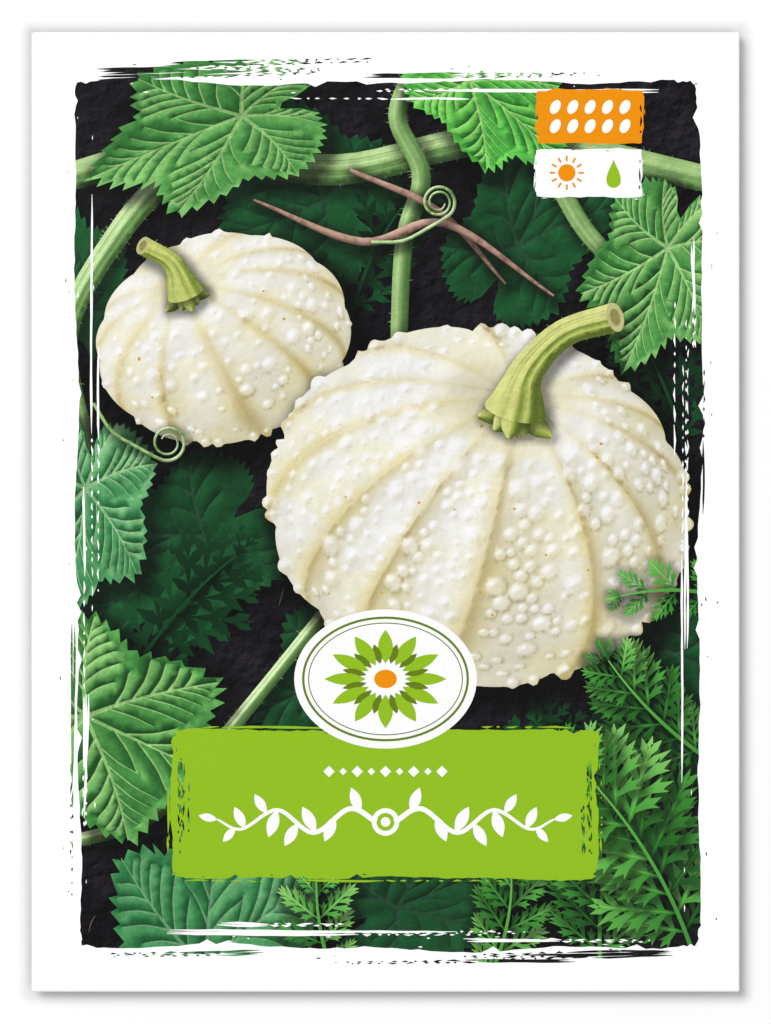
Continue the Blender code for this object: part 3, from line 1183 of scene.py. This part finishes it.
def layRootlet():
    # A fine root or straw on the soil
    start = np.array([chance.uniform(-50, 50), chance.uniform(-70, 70)])
    turn, size = chance.uniform(0, 180), chance.uniform(1.0, 3.6)
    away = way(math.radians(turn)) * size
    path = curve([start, start + away * 0.5 + (chance.uniform(-0.4, 0.4), 0.2), start + away], 2)
    shade = chance.uniform(0.16, 0.42)
    lay(front, strip(path, (0.10, 0.24, 0.08)), "plain", flat((shade, shade * 0.82, shade * 0.70)))


def layPicture():
    # From the soil up to what lies in front of the squashes
    lay(front, block(np.array(front["low"]) + 0.6, np.array(front["high"]) - 0.6), "soil", flat(soilTone))
    for _ in range(44):
        layRootlet()

    # Far leaves, kept dark
    for place in (
        ((-10, 52), 155, 24, 0.75),
        ((22, 44), 60, 26, 0.6),
        ((-30, -4), 215, 26, 0.7),
        ((44, -22), 290, 26, 0.7),
        ((2, -66), 20, 24, 0.6),
        ((-52, 34), 100, 20, 0.7),
        ((-8, -26), 250, 22, 0.7),
    ):
        layLeaf(*place, coolGreens, (0.20, 0.36, 0.26), level=0.42, casts=(0.3, 0.8))
    for place in (
        ((-6, 30), 80, 26, -30),
        ((50, 8), 100, 26, 24),
        ((-44, -30), 60, 30, -20),
        ((20, -64), 60, 30, 30),
        ((52, -70), 150, 30, -24),
        ((40, -46), 70, 22, 20),
    ):
        layFrond(*place, coolGreens, level=0.60, coarse=True)

    # Vines and dry shoots: points, widths, tones, ridges, level and hairs
    for points, widths, tones, ridges, level, hairs in (
        ([(-56, 55), (-34, 60), (-8, 57), (20, 62), (56, 55)], (4.6, 5.4, 5, 4.4), vineGreens, 3, 0.76, 130),
        ([(-50, 10), (-53, 30), (-44, 47), (-34, 58)], (3.4, 3.8, 4.4), vineGreens, 3, 0.80, 70),
        ([(6, 76), (2, 66), (6, 56), (3, 44), (2, 20)], (3.0, 3.2, 2.8), vineGreens, 2, 0.72, 70),
        ([(56, 34), (44, 38), (34, 46), (26, 60)], (2.6, 3.0, 3.2), vineGreens, 2, 0.78, 50),
        ([(20, 38), (9, 50), (-6, 57)], (0.3, 1.1, 1.2, 0.7), dryBrowns, 0, 0.72, 0),
        ([(-22, 52), (-4, 45), (10, 48), (28, 36)], (0.4, 1.3, 1.5, 1.2, 0.4), dryBrowns, 0, 0.70, 0),
        ([(-56, -56), (-38, -50), (-24, -34), (-8, -14)], (2.2, 2.6, 2.0), vineGreens, 2, 0.86, 60),
    ):
        layStem(points, widths, tones, ridges, level=level, hairs=hairs)

    # Leaves of the vine
    layLeaf((-24, 66), 196, 27, 0.62, deepGreens, (0.62, 0.74, 0.48), level=0.86, wilt=0.5)
    layLeaf((47, 44), 250, 22, 0.72, deepGreens, (0.66, 0.78, 0.52), level=0.95)
    layLeaf((-50, 4), 262, 24, 0.66, coolGreens, (0.60, 0.72, 0.54), level=0.90, wilt=-0.4)
    layLeaf((14, 72), 318, 22, 0.6, brightGreens, (0.70, 0.84, 0.52), level=0.80)
    laySquash(smallSquash)
    laySquash(largeSquash)

    # Leaves, fronds and tendrils in front
    layLeaf((-50, -34), 330, 30, 0.72, deepGreens, (0.64, 0.78, 0.50), level=0.90, wilt=0.3)
    layLeaf((-30, -76), 82, 30, 0.78, coolGreens, (0.50, 0.66, 0.50), level=0.78)
    layFrond((56, -14), 168, 17, 24, brightGreens, level=1.12, casts=(0.24, 0.45))
    for place in (
        ((55, -42), 146, 25, -20),
        ((-8, -79), 112, 20, -24),
        ((16, -80), 62, 22, 30),
        ((36, -78), 94, 30, -20),
        ((52, -76), 108, 40, 26),
    ):
        layFrond(*place, brightGreens, level=1.12)
    layTendril((10, 49), 24, 13, vineGreens)
    layTendril((-38, 9), 325, 14, vineGreens, 1.8)


# Bristles' marks: how far apart they lie, how wide they are and how much of that each dash keeps,
# under what length a mark is a plain diamond, how far apart a longer one's points are, and how far
# it wavers
bristle = {"pitch": 0.30, "thick": 0.40, "wear": 0.96, "short": 1.3, "step": 2.4, "waver": 0.10}


def streak(start, end, thick):
    # One bristle's mark, ragged along its sides and tapered at its ends
    length = np.linalg.norm(end - start)
    along = (end - start) / (length + 1e-9)
    side = leftOf(along)
    if length < bristle["short"]:
        middle = start + along * length * chance.uniform(0.35, 0.65)
        return np.array([start, middle - side * thick / 2, end, middle + side * thick / 2])
    drift = chance.uniform(0, 6)
    upper, lower = [], []
    for share in np.linspace(0, 1, max(2, int(length / bristle["step"])) + 1):
        body = thick * min(1.0, 5 * share + 0.2, 5 * (1 - share) + 0.2) / 2
        spot = start + along * length * share + side * bristle["waver"] * math.sin(share * 4 + drift)
        upper.append(spot + side * body * chance.uniform(0.7, 1.2))
        lower.append(spot - side * body * chance.uniform(0.7, 1.2))
    return np.vstack([upper, lower[::-1]])


def dryLine(start, end, solid):
    # A bristle's mark that runs whole for a while and then breaks up into dashes
    length = np.linalg.norm(end - start)
    marks, at, piece, thick = [], 0.0, length * solid, bristle["thick"]
    while at < length:
        reach = min(piece, length - at)
        if reach > 0.25:
            first, last = (start + (end - start) * far / length for far in (at, at + reach))
            marks.append(streak(first, last, thick))
        tired = at / length
        if tired > solid + 0.3 and chance.random() < 0.2:
            break
        at += reach + chance.uniform(0.3, 0.8) + 1.6 * tired * chance.random()
        piece = chance.uniform(0.4, 2.6) * (1.2 - tired * 0.7)
        thick *= bristle["wear"]
    return marks


def dryStroke(start, end, width, solid):
    # A dry brush's mark: bristles that lie together at first, then part and break up
    along = (end - start) / np.linalg.norm(end - start)
    count = max(1, round(width / bristle["pitch"]))
    marks = []
    for k in range(count):
        out = leftOf(along) * (k - (count - 1) / 2) * bristle["pitch"]
        first = start + out + along * chance.uniform(0, 1.6)
        marks += dryLine(first, end + out * 0.9, min(0.95, solid * chance.uniform(0.5, 1.4)))
    return marks


def roughSide(a, b, look):
    # One side of a brushed block: slow waves with a little tremble, a nick now and then, worn corners
    length = np.linalg.norm(b - a)
    outward = -leftOf(b - a) / length
    spots, at = [], 0.2
    while at < length:
        spots.append(at)
        at += look["step"] * (0.45 if min(at, length - at) < look["worn"] else 1.0) * chance.uniform(0.7, 1.3)
    phases = [chance.uniform(0, 6) for _ in range(3)]
    points = []
    for at in spots:
        share = at / length
        swing = sum(math.sin(share * turns + phase) for turns, phase in zip((5.0, 11.0, 23.0), phases)) / 2.2
        lean = swing * look["wave"] + chance.uniform(-1, 1) * look["tremble"]
        corner = max(0.0, 1 - min(at, length - at) / look["worn"])
        lean -= corner * chance.uniform(0.0, 1.0) * look["nickDepth"]
        if chance.random() < look["nicks"]:
            lean -= chance.uniform(0.3, 1.0) * look["nickDepth"]
        points.append(a + (b - a) * share + outward * lean)
    return points


def brushed(low, high, look):
    # A painted block with dry, streaky edges: its outlines and the bare streaks inside them
    edge, marks = [], {True: [], False: []}
    corners = np.vstack([block(low, high), [low]])
    for number, (a, b) in enumerate(zip(corners[:-1], corners[1:])):
        edge += roughSide(a, b, look)
        length = np.linalg.norm(b - a)
        outward = -leftOf(b - a) / length
        for side, at, reach, out, drift, width, solid, inked in look["strokes"]:
            if side == number:
                first = a + (b - a) * at + outward * out
                last = a + (b - a) * (at + reach) + outward * (out + drift)
                marks[inked] += dryStroke(first, last, width, solid)
        for _ in range(look["flecks"]):
            out = chance.uniform(-look["fleckReach"], look["fleckReach"])
            first = a + (b - a) * chance.uniform(0.02, 0.95) + outward * out
            last = first + (b - a) / length * chance.uniform(0.3, 1.3)
            marks[out > 0].append(streak(first, last, chance.uniform(0.12, 0.30)))
    return [np.array(edge)] + marks[True], marks[False]


# Each stroke: its side, from 0 at the bottom round to 3 at the left, where it starts and how long it
# is as shares of the side (a negative length runs back), how far out it starts and how far it drifts
# out, its width, how much of it is whole, and whether it is ink or bare
frameBrush = {
    "step": 1.6,
    "wave": 0.6,
    "tremble": 0.12,
    "nicks": 0.06,
    "nickDepth": 0.9,
    "worn": 5.0,
    "flecks": 18,
    "fleckReach": 3.0,
    "strokes": (
        (0, 0.96, -0.34, 0.9, 0.7, 1.3, 0.55, True),
        (0, 0.80, -0.40, 2.1, 0.5, 0.6, 0.35, True),
        (0, 0.30, -0.26, 0.8, 0.5, 0.9, 0.45, True),
        (0, 0.14, 0.58, -2.6, 0.2, 0.8, 0.75, False),
        (0, 0.22, 0.30, -3.9, 0.1, 0.45, 0.40, False),
        (0, 0.62, 0.30, -1.3, 0.2, 0.45, 0.50, False),
        (1, 0.18, 0.66, -3.1, 0.4, 0.35, 0.34, False),
        (1, 0.34, 0.50, -2.3, 0.2, 0.6, 0.30, False),
        (1, 0.56, 0.30, -4.3, 0.2, 0.3, 0.20, False),
        (1, 0.82, -0.14, -1.2, 0.3, 0.7, 0.50, False),
        (1, 0.50, 0.24, 0.5, 0.3, 0.35, 0.40, True),
        (2, 0.97, -0.36, 1.2, 0.9, 2.0, 0.50, True),
        (2, 0.86, -0.44, 2.9, 0.8, 0.9, 0.35, True),
        (2, 0.54, -0.44, 0.9, 0.2, 0.8, 0.30, True),
        (2, 0.06, 0.46, -1.6, 0.1, 0.7, 0.65, False),
        (2, 0.36, 0.40, -3.0, 0.2, 0.35, 0.30, False),
        (3, 0.12, 0.64, -2.4, -0.2, 0.3, 0.34, False),
        (3, 0.30, 0.50, -3.6, 0.1, 0.4, 0.35, False),
        (3, 0.70, 0.16, -1.6, 0.4, 0.8, 0.85, False),
        (3, 0.46, 0.36, -1.2, 0.0, 0.3, 0.50, False),
        (3, 0.62, 0.32, 0.6, 0.4, 0.6, 0.45, True),
    ),
}
bandBrush = {
    "step": 1.1,
    "wave": 0.30,
    "tremble": 0.12,
    "nicks": 0.06,
    "nickDepth": 0.7,
    "worn": 2.0,
    "flecks": 6,
    "fleckReach": 1.0,
    "strokes": (
        (0, 0.30, 0.50, 0.35, 0.1, 0.35, 0.6, True),
        (0, 0.02, 0.20, 0.3, 0.2, 0.3, 0.5, True),
        (1, 0.80, -0.64, -1.5, 0.1, 1.0, 0.25, False),
        (1, 0.52, -0.40, -2.6, 0.2, 0.5, 0.12, False),
        (1, 0.12, 0.30, 0.4, 0.2, 0.35, 0.5, True),
        (2, 0.04, 0.30, 0.4, 0.2, 0.4, 0.5, True),
        (2, 0.60, 0.34, 0.3, 0.2, 0.3, 0.6, True),
        (3, 0.18, 0.66, -1.6, 0.1, 1.3, 0.35, False),
        (3, 0.30, 0.46, -2.9, 0.1, 0.4, 0.12, False),
        (3, 0.36, 0.50, 0.5, 0.2, 0.35, 0.5, True),
    ),
}
tabBrush = {
    "step": 1.4,
    "wave": 0.12,
    "tremble": 0.08,
    "nicks": 0.05,
    "nickDepth": 0.3,
    "worn": 0.8,
    "flecks": 2,
    "fleckReach": 0.4,
    "strokes": ((1, 0.1, 0.7, -0.5, 0.1, 0.3, 0.15, False), (3, 0.2, 0.6, 0.1, 0.1, 0.3, 0.5, True)),
}

label = {
    "orange": (0.945, 0.576, 0.004),
    "green": (0.580, 0.757, 0.125),
    "olive": (0.40, 0.50, 0.10),
    "white": (1.0, 1.0, 1.0),
    "tab": ((25.2, 61.4), (43.0, 70.4)),
    "lowerTab": ((25.0, 52.4), (42.8, 60.5)),
    "band": ((-35.6, -61.0), (35.4, -36.3)),
    "title": (0.0, -51.6),
    "subtitle": (0.0, -43.2),
    "seal": (0.0, -27.8),
    "stretch": (1.24, 1.0),  # of the rosette on the seal
}


def overprint(sheet, outlines, colour, holes=(), solid=False):
    lay(sheet, outlines, "plain", flat(label[colour]), holes=holes, overprint=True, solid=solid)


def layBrushed(sheet, corners, look, colour, solid=False):
    outlines, holes = brushed(*corners, look)
    overprint(sheet, outlines, colour, holes, solid)


def laySun(sheet, middle, size):
    overprint(sheet, oval(middle, (0.51 * size, 0.51 * size), 28), "orange")
    for number in range(12):
        ray = turned(block((0.68, -0.06), (1.0, 0.06)), number * 30) * size
        overprint(sheet, ray + middle, "orange")


def layDrop(sheet, middle, size):
    angles = np.linspace(0, 2 * np.pi, 32, endpoint=False)
    width = 0.73 * np.sin(angles) * np.sin(angles / 2) ** 1.6
    drop = np.stack([width, np.cos(angles) + 0.16], axis=1) * size
    overprint(sheet, drop + middle, "green")


def layRing(sheet, middle, radii, thick, colour, count):
    # The two counts are the points of the outer and the inner line
    hole = oval(middle, (radii[0] - thick, radii[1] - thick), count[1])
    overprint(sheet, oval(middle, radii, count[0]), colour, holes=[hole])


def leafMark(base, heading, size, width=0.42):
    # A plain pointed leaf for the line ornaments
    shares = np.linspace(0, 1, 9)
    plump = np.sin(shares * np.pi) ** 0.9 * width * size / 2
    upper = np.stack([shares * size, plump], axis=1)
    return turned(np.vstack([upper, (upper * (1, -1))[::-1][1:-1]]), heading) + base


# A running tendril: its wave, and each leaf's place, direction in degrees and length
ornament = {
    "wave": [(1.5, 0.0), (6, 2.2), (12, -1.8), (18, 2.0), (24, -1.2), (28, 0.4)],
    "widths": (0.9, 0.8, 0.6, 0.35),
    "leaves": (
        ((4.2, 1.6), 70, 4.4),
        ((8.4, 1.0), -68, 4.6),
        ((11.6, -1.7), 62, 4.8),
        ((14.6, -0.2), -60, 4.4),
        ((18.0, 2.0), -72, 4.8),
        ((19.8, 1.4), 58, 3.8),
        ((23.4, -1.1), 64, 4.0),
        ((25.0, -0.9), -50, 3.2),
        ((28.0, 0.4), 12, 3.2),
    ),
}


def layOrnament(sheet, middle):
    # The tendril to both sides of a ring
    for side in (-1, 1):
        flip = np.array([side, 1.0])
        line = strip(curve(ornament["wave"], 8) * flip, ornament["widths"])
        overprint(sheet, line + middle, "white")
        for leaf in ornament["leaves"]:
            overprint(sheet, leafMark(*leaf) * flip + middle, "white")
    layRing(sheet, middle, (2.3, 2.3), 0.8, "white", (30, 26))
    overprint(sheet, oval(middle, (0.8, 0.8), 20), "white")


def layTabs():
    # Ten seeds on the orange tab, a sun and a drop on the white one
    layBrushed(front, label["tab"], tabBrush, "orange")
    first = np.array(label["tab"][0]) + (3.1, 2.9)
    for number in range(10):
        spot = first + (2.9 * (number % 5), 3.2 * (number // 5))
        overprint(front, oval(spot, (1.25, 0.80), 18, 62), "white")
    layBrushed(front, label["lowerTab"], tabBrush, "white")
    laySun(front, np.array([30.2, 56.5]), 2.85)
    layDrop(front, np.array([38.0, 56.0]), 2.4)


def layBand():
    layBrushed(front, label["band"], bandBrush, "green", solid=True)
    layOrnament(front, np.array(label["title"]))
    for number in range(-4, 5):
        size = 0.62 if number % 2 else 0.95
        overprint(front, oval(np.array(label["subtitle"]) + (number * 2.35, 0), (size, size), 4), "white")


def laySeal():
    # A white oval with a double line and a plain rosette
    middle = np.array(label["seal"])
    overprint(front, oval(middle, (15.2, 11.6), 72), "white", solid=True)
    layRing(front, middle, (13.9, 10.4), 0.4, "olive", (72, 72))
    layRing(front, middle, (12.9, 9.4), 0.18, "olive", (64, 64))
    for number in range(12):
        for length, width, turn, colour in ((5.6, 0.36, 0, "green"), (3.4, 0.34, 15, "olive")):
            petal = turned(leafMark((2.6, 0), 0, length, width), number * 30 + turn)
            overprint(front, petal * label["stretch"] + middle, colour)
    overprint(front, oval(middle, (1.9, 1.55), 26), "orange")


layPicture()
outlines, holes = brushed(*pictureArea, frameBrush)
front["mask"] = {"outlines": outlines, "holes": holes}
layTabs()
layBand()
laySeal()
dense = dotsOver(*pictureArea, pitches["picture"])
for thing in front["things"]:
    if thing["ink"] == "squash":
        dense = dense[~holds(thing["outlines"][0], dense)]
margin = dotsOver(front["low"], front["high"], pitches["margin"])
front["dots"] += [dense, margin[~holds(block(*pictureArea), margin)]]
print("front drawn:", len(front["things"]), "things")


def skin(height, flip=1):
    # One face of a panel; the back is drawn mirrored, as it is seen from its own side
    def toPlace(places):
        x, y = flip * places[:, 0], places[:, 1]
        return np.column_stack([x, y, height(x, y)])

    return toPlace


frontOuter = skin(lambda x, y: frontHeight(x, y) + halfPaper + seedRelief(x, y))
frontInner = skin(lambda x, y: frontHeight(x, y) - halfPaper)
frontPanel = printedPanel("front_panel", front, frontOuter, frontInner, inks)
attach(frontPanel, "root")
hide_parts("paper_envelope")

# The back's print, drawn as someone who turns the packet over sees it

back = newPrint((-backPanelX / mm, panelBottom / mm), (backPanelX / mm, backPanelTop / mm))
backLabel = {
    "band": ((-50.5, 37.0), (50.5, 52.0)),
    "badgeHeight": 23.0,
    "badges": (-37.5, -12.5, 12.5, 37.5),
    "badgeRadius": 7.4,
    "calendar": (-49.8, -1.0),
    "calendarBox": (7.5, 5.6),
    "calendarGap": (0.84, 1.4),
    "filled": (((3, 4, 5), "orange"), ((8, 9), "green")),
    "notes": (-17.0, -25.0, -33.0),
    "noteEnds": (-49.4, 49.8),
    "dotPitch": 1.9,
    "dotRadius": 0.30,
    "stamp": ((-49.8, -71.0), (-12.0, -43.0)),
    "drawing": (24.0, -58.0),
}


def outlined(low, high, thick):
    inner = block((low[0] + thick, low[1] + thick), (high[0] - thick, high[1] - thick))
    overprint(back, block(low, high), "olive", holes=[inner])


def layArrow(start, end):
    along = (end - start) / np.linalg.norm(end - start)
    foot, side = end - along * 1.5, leftOf(along) * 0.95
    overprint(back, strip(np.array([start, end - along]), (0.45, 0.45)), "olive")
    overprint(back, np.array([end, foot + side, foot - side]), "olive")


def laySprout(foot, size):
    overprint(back, strip(np.array([foot, foot + (0, size * 0.5)]), (0.5, 0.4)), "green")
    for heading in (38, 142):
        overprint(back, leafMark(foot + (0, size * 0.42), heading, size * 0.75, 0.5), "green")


def layBadges():
    # Sun, water, sowing depth and spacing
    radius = backLabel["badgeRadius"]
    sun, water, depth, spacing = (np.array([x, backLabel["badgeHeight"]]) for x in backLabel["badges"])
    for middle in (sun, water, depth, spacing):
        layRing(back, middle, (radius, radius), 0.4, "olive", (48, 48))
    laySun(back, sun, 4.8)
    layDrop(back, water, 3.9)
    overprint(back, block(depth + (-4.6, 0.9), depth + (4.6, 1.4)), "olive")
    overprint(back, oval(depth + (1.6, -2.9), (1.5, 0.95), 20, 30), "orange")
    layArrow(depth + (-2.0, 0.6), depth + (-2.0, -4.0))
    laySprout(depth + (1.6, 1.4), 3.4)
    overprint(back, block(spacing + (-4.8, -1.6), spacing + (4.8, -1.1)), "olive")
    for x in (-2.8, 2.8):
        laySprout(spacing + (x, -1.1), 4.0)
    for x in (-3.2, 3.2):
        layArrow(spacing + (0, -3.3), spacing + (x, -3.3))


def layCalendar():
    # Two rows of twelve boxes, a box for each month
    size = np.array(backLabel["calendarBox"])
    for row, (months, colour) in enumerate(backLabel["filled"]):
        for month in range(12):
            corner = np.array(backLabel["calendar"]) + (size + backLabel["calendarGap"]) * (month, -row)
            if month in months:
                overprint(back, block(corner, corner + size), colour)
            else:
                outlined(corner, corner + size, 0.22)


def layDrawing():
    # A line drawing of a ribbed squash with two leaves
    middle = np.array(backLabel["drawing"])
    for radius in (16.5, 11.0, 5.2):
        layRing(back, middle, (radius, 11.0), 0.42, "olive", (48, 48))
    stalk = curve([(0, 10.2), (0.6, 13.5), (3.6, 16.0)], 6) + middle
    overprint(back, strip(stalk, (3.2, 1.8, 2.2)), "olive")
    for heading, size in ((150, 11.0), (24, 9.0)):
        overprint(back, leafMark(middle + (0, 11.5), heading, size, 0.55), "green")


def layBack():
    layBrushed(back, backLabel["band"], bandBrush, "green")
    layOrnament(back, np.mean(backLabel["band"], axis=0))
    layBadges()
    layCalendar()
    radius = backLabel["dotRadius"]
    for y in backLabel["notes"]:
        for x in np.arange(*backLabel["noteEnds"], backLabel["dotPitch"]):
            overprint(back, oval((x, y), (radius, radius), 8), "olive")
    outlined(*backLabel["stamp"], 0.25)
    layDrawing()
    back["dots"].append(dotsOver(back["low"], back["high"], pitches["back"]))


layBack()
backOuter = skin(lambda x, y: backHeight(x, y, 1) - halfPaper, flip=-1)
backInner = skin(lambda x, y: backHeight(x, y, 1) + halfPaper, flip=-1)
backPanel = printedPanel("back_panel", back, backOuter, backInner, inks)
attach(backPanel, "root")
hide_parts("paper_envelope")

# The folds round the edges, the two side flaps behind the front and the closing flap over the back

folds = {
    "steps": 8,
    "pitch": 0.002,
    "sideSteps": 6,
    "topSteps": 10,
    "sharp": 50,
    "late": 4,  # the higher, the further round a fold its ends stay square
}


def aroundFold(share, radius):
    angle = min(share, 1.0) * math.pi
    return radius * math.sin(angle), -radius * (1 - math.cos(angle))


def drawIn(fold):
    return min(1.0, fold) ** folds["late"]


def sidePlace(side, step, up):
    # The fold at one side, then the flap that turns in behind the front
    y = panelBottom + (panelTop - panelBottom) * up
    fold, flap = step / folds["steps"], max(0.0, (step - folds["steps"]) / folds["sideSteps"])
    ends = packet["height"] - 2 * (packet["sideFlapInset"] + packet["flapTaper"] * packet["sideFlap"] * flap)
    y *= 1 - (1 - ends / packet["height"]) * drawIn(fold)
    if flap == 0:
        out, drop = aroundFold(fold, sideRadius)
        return side * (panelX + out), y, float(frontHeight(panelX, y)) + drop
    x = side * (panelX - packet["sideFlap"] * flap)
    return x, y, float(backHeight(x, y, 0))


def bottomPlace(across, step):
    fold = step / folds["steps"]
    x = panelX * (2 * across - 1) * (1 - packet["backPanelInset"] / panelX * drawIn(fold))
    out, drop = aroundFold(fold, bottomRadius)
    return x, panelBottom - out, float(frontHeight(x, panelBottom)) + drop


def topPlace(across, step):
    fold, flap = step / folds["steps"], max(0.0, (step - folds["steps"]) / folds["topSteps"])
    inset = packet["sideFlapInset"] + packet["flapTaper"] * packet["topFlap"] * flap
    x = panelX * (2 * across - 1) * (1 - inset / panelX * drawIn(fold))
    if flap == 0:
        out, drop = aroundFold(fold, topRadius)
        return x, panelTop + out, float(frontHeight(x, panelTop)) + drop
    y = panelTop - packet["topFlap"] * flap
    return x, y, float(backHeight(x, y, 2))


def addStrip(shape, columns, rows, place):
    made = bmesh.ops.create_grid(shape, x_segments=columns, y_segments=rows, size=0.5)
    for vert in made["verts"]:
        vert.co = place(round((vert.co.x + 0.5) * columns), round((vert.co.y + 0.5) * rows))


def makeFolds():
    shape = bmesh.new()
    tall = round((panelTop - panelBottom) / folds["pitch"])
    wide = round(2 * panelX / folds["pitch"])
    sideRows, topRows = folds["steps"] + folds["sideSteps"], folds["steps"] + folds["topSteps"]
    for side in (-1, 1):
        addStrip(shape, sideRows, tall, lambda column, row: sidePlace(side, column, row / tall))
    addStrip(shape, wide, folds["steps"], lambda column, row: bottomPlace(column / wide, row))
    addStrip(shape, wide, topRows, lambda column, row: topPlace(column / wide, row))
    mesh = bpy.data.meshes.new("folds_and_flaps")
    shape.to_mesh(mesh)
    shape.free()
    mesh.materials.append(inks["paper"])
    made = newObject("folds_and_flaps", mesh)
    thicken = made.modifiers.new("paper", "SOLIDIFY")
    thicken.thickness = packet["paper"]
    thicken.offset = 0.0
    thicken.use_even_offset = True
    bpy.context.view_layer.update()
    thick = bpy.data.meshes.new_from_object(made.evaluated_get(bpy.context.evaluated_depsgraph_get()))
    made.modifiers.clear()
    made.data = thick
    thick.name = "folds_and_flaps"
    thick.shade_smooth()
    thick.set_sharp_from_angle(angle=math.radians(folds["sharp"]))
    return made


foldPiece = makeFolds()
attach(foldPiece, "root")
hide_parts("paper_envelope")
print("folds and flaps made")

# The seeds' coat: a buff middle, a darker groove and a paler raised margin, with fine fibres

seedLook = {
    "body": (0.70, 0.54, 0.32, 1.0),
    "groove": (0.46, 0.33, 0.17, 1.0),
    "margin": (0.86, 0.76, 0.55, 1.0),
    "bands": ((0.0, "body"), (0.62, "body"), (0.78, "groove"), (0.84, "margin"), (0.92, "margin")),
    "fibres": (1.2, 9.0, 400.0),  # how closely they lie along the seed, across it and through it
    "fibreDepth": 0.00003,
    "roughness": 0.52,
}


def seedMaterial(name):
    # Each seed's own pattern is centred on it and turned along it
    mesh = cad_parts[name].data
    places = np.array([vert.co for vert in mesh.vertices])[:, :2]
    low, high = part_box(name)
    middle = (low + high) / 2
    spread = places - (middle.x, middle.y)
    along = np.linalg.eigh(spread.T @ spread)[1][:, 1]
    turn = math.atan2(along[1], along[0])
    halves = np.abs(turned(spread, -math.degrees(turn))).max(0)
    material, tree, shader, place = newMaterial(name + "_coat", seedLook["roughness"])
    inputs = {"Vector": place, "Location": middle, "Rotation": (0.0, 0.0, turn), "Scale": (*halves, 1.0)}
    centred = addNode(tree, "ShaderNodeMapping", {"vector_type": "TEXTURE"}, inputs).outputs["Vector"]
    level = vectorMaths(tree, "MULTIPLY", {0: centred, 1: (1.0, 1.0, 0.0)})["Vector"]
    reach = vectorMaths(tree, "LENGTH", {0: level})["Value"]
    coat = addNode(tree, "ShaderNodeValToRGB", None, {"Fac": reach})
    stops = coat.color_ramp.elements
    first, *others = seedLook["bands"]
    stops.remove(stops[1])
    stops[0].position, stops[0].color = first[0], seedLook[first[1]]
    for position, band in others:
        stops.new(position).color = seedLook[band]
    drawn = vectorMaths(tree, "MULTIPLY", {0: centred, 1: seedLook["fibres"]})["Vector"]
    fibre = mottled(tree, drawn, 3.0, 4.0, 0.86, 1.12)
    tree.links.new(scaled(tree, coat.outputs["Color"], fibre), shader.inputs["Base Color"])
    addBump(tree, shader, fibre, seedLook["fibreDepth"], 0.6)
    return material


for name in seedNodes:
    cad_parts[name].material_slots[0].material = seedMaterial(name)
print("seeds finished")

# The camera looks straight down: how high it and the packet's front are, how much length the frame
# takes in, and the sensor's width in millimetres
view = {"height": 0.95, "front": 0.002, "frameTall": 0.1707, "sensor": 36.0}
lens = bpy.data.cameras.new("camera")
lens.sensor_width = view["sensor"]
lens.lens = view["sensor"] * (view["height"] - view["front"]) / view["frameTall"]
camera = newObject("camera", lens)
camera.location.z = view["height"]
bpy.context.scene.camera = camera

studio = {
    "ambient": 0.50,
    # each light's name, place, size and power
    "lights": (("key", (-1.15, 1.15, 1.52), 1.4, 41.0), ("fill", (0.80, -0.80, 1.60), 0.9, 7.6)),
    "floor": (0.87, 0.87, 0.87),
    "floorSize": 2.5,
    "floorGap": 0.00005,
    # the painted shadow round the packet: how much of the floor's white it leaves at the packet's edge, and
    # how far off the floor is whole again
    "paintedShadowLeft": 0.74,
    "paintedShadowReach": 0.0026,
}
for name, spot, size, power in studio["lights"]:
    light = bpy.data.lights.new(name, "AREA")
    light.energy = power
    light.size = size
    lamp = newObject(name, light)
    lamp.location = spot
    lamp.rotation_euler = (-Vector(spot)).to_track_quat("-Z", "Y").to_euler()
world = bpy.data.worlds.new("studio")
world.use_nodes = True
world.node_tree.nodes["Background"].inputs["Color"].default_value = (1.0, 1.0, 1.0, 1.0)
world.node_tree.nodes["Background"].inputs["Strength"].default_value = studio["ambient"]
bpy.context.scene.world = world


def floorMaterial():
    # Painted shadow: the floor's colour darkens close to the packet's outline
    material, tree, shader, place = newMaterial("pale_floor", 0.9)
    parts = addNode(tree, "ShaderNodeSeparateXYZ", None, {0: place}).outputs
    squares = []
    for part, half in zip(parts, (packet["width"] / 2, packet["height"] / 2)):
        beyond = maths(tree, "MAXIMUM", maths(tree, "SUBTRACT", maths(tree, "ABSOLUTE", part), half))
        squares.append(product(tree, beyond, beyond))
    away = maths(tree, "SQRT", maths(tree, "ADD", *squares))
    # painted shadow: a darker floor colour near the packet, fading out further away
    kept = between(tree, away, 0.0, studio["paintedShadowReach"], studio["paintedShadowLeft"], 1.0)
    tree.links.new(scaled(tree, studio["floor"], kept), shader.inputs["Base Color"])
    return material


def makeFloor():
    shape = bmesh.new()
    bmesh.ops.create_grid(shape, x_segments=1, y_segments=1, size=studio["floorSize"])
    bmesh.ops.translate(shape, verts=shape.verts, vec=(0, 0, -studio["floorGap"]))
    mesh = bpy.data.meshes.new("floor")
    shape.to_mesh(mesh)
    shape.free()
    mesh.materials.append(floorMaterial())
    return newObject("floor", mesh)


floor = makeFloor()
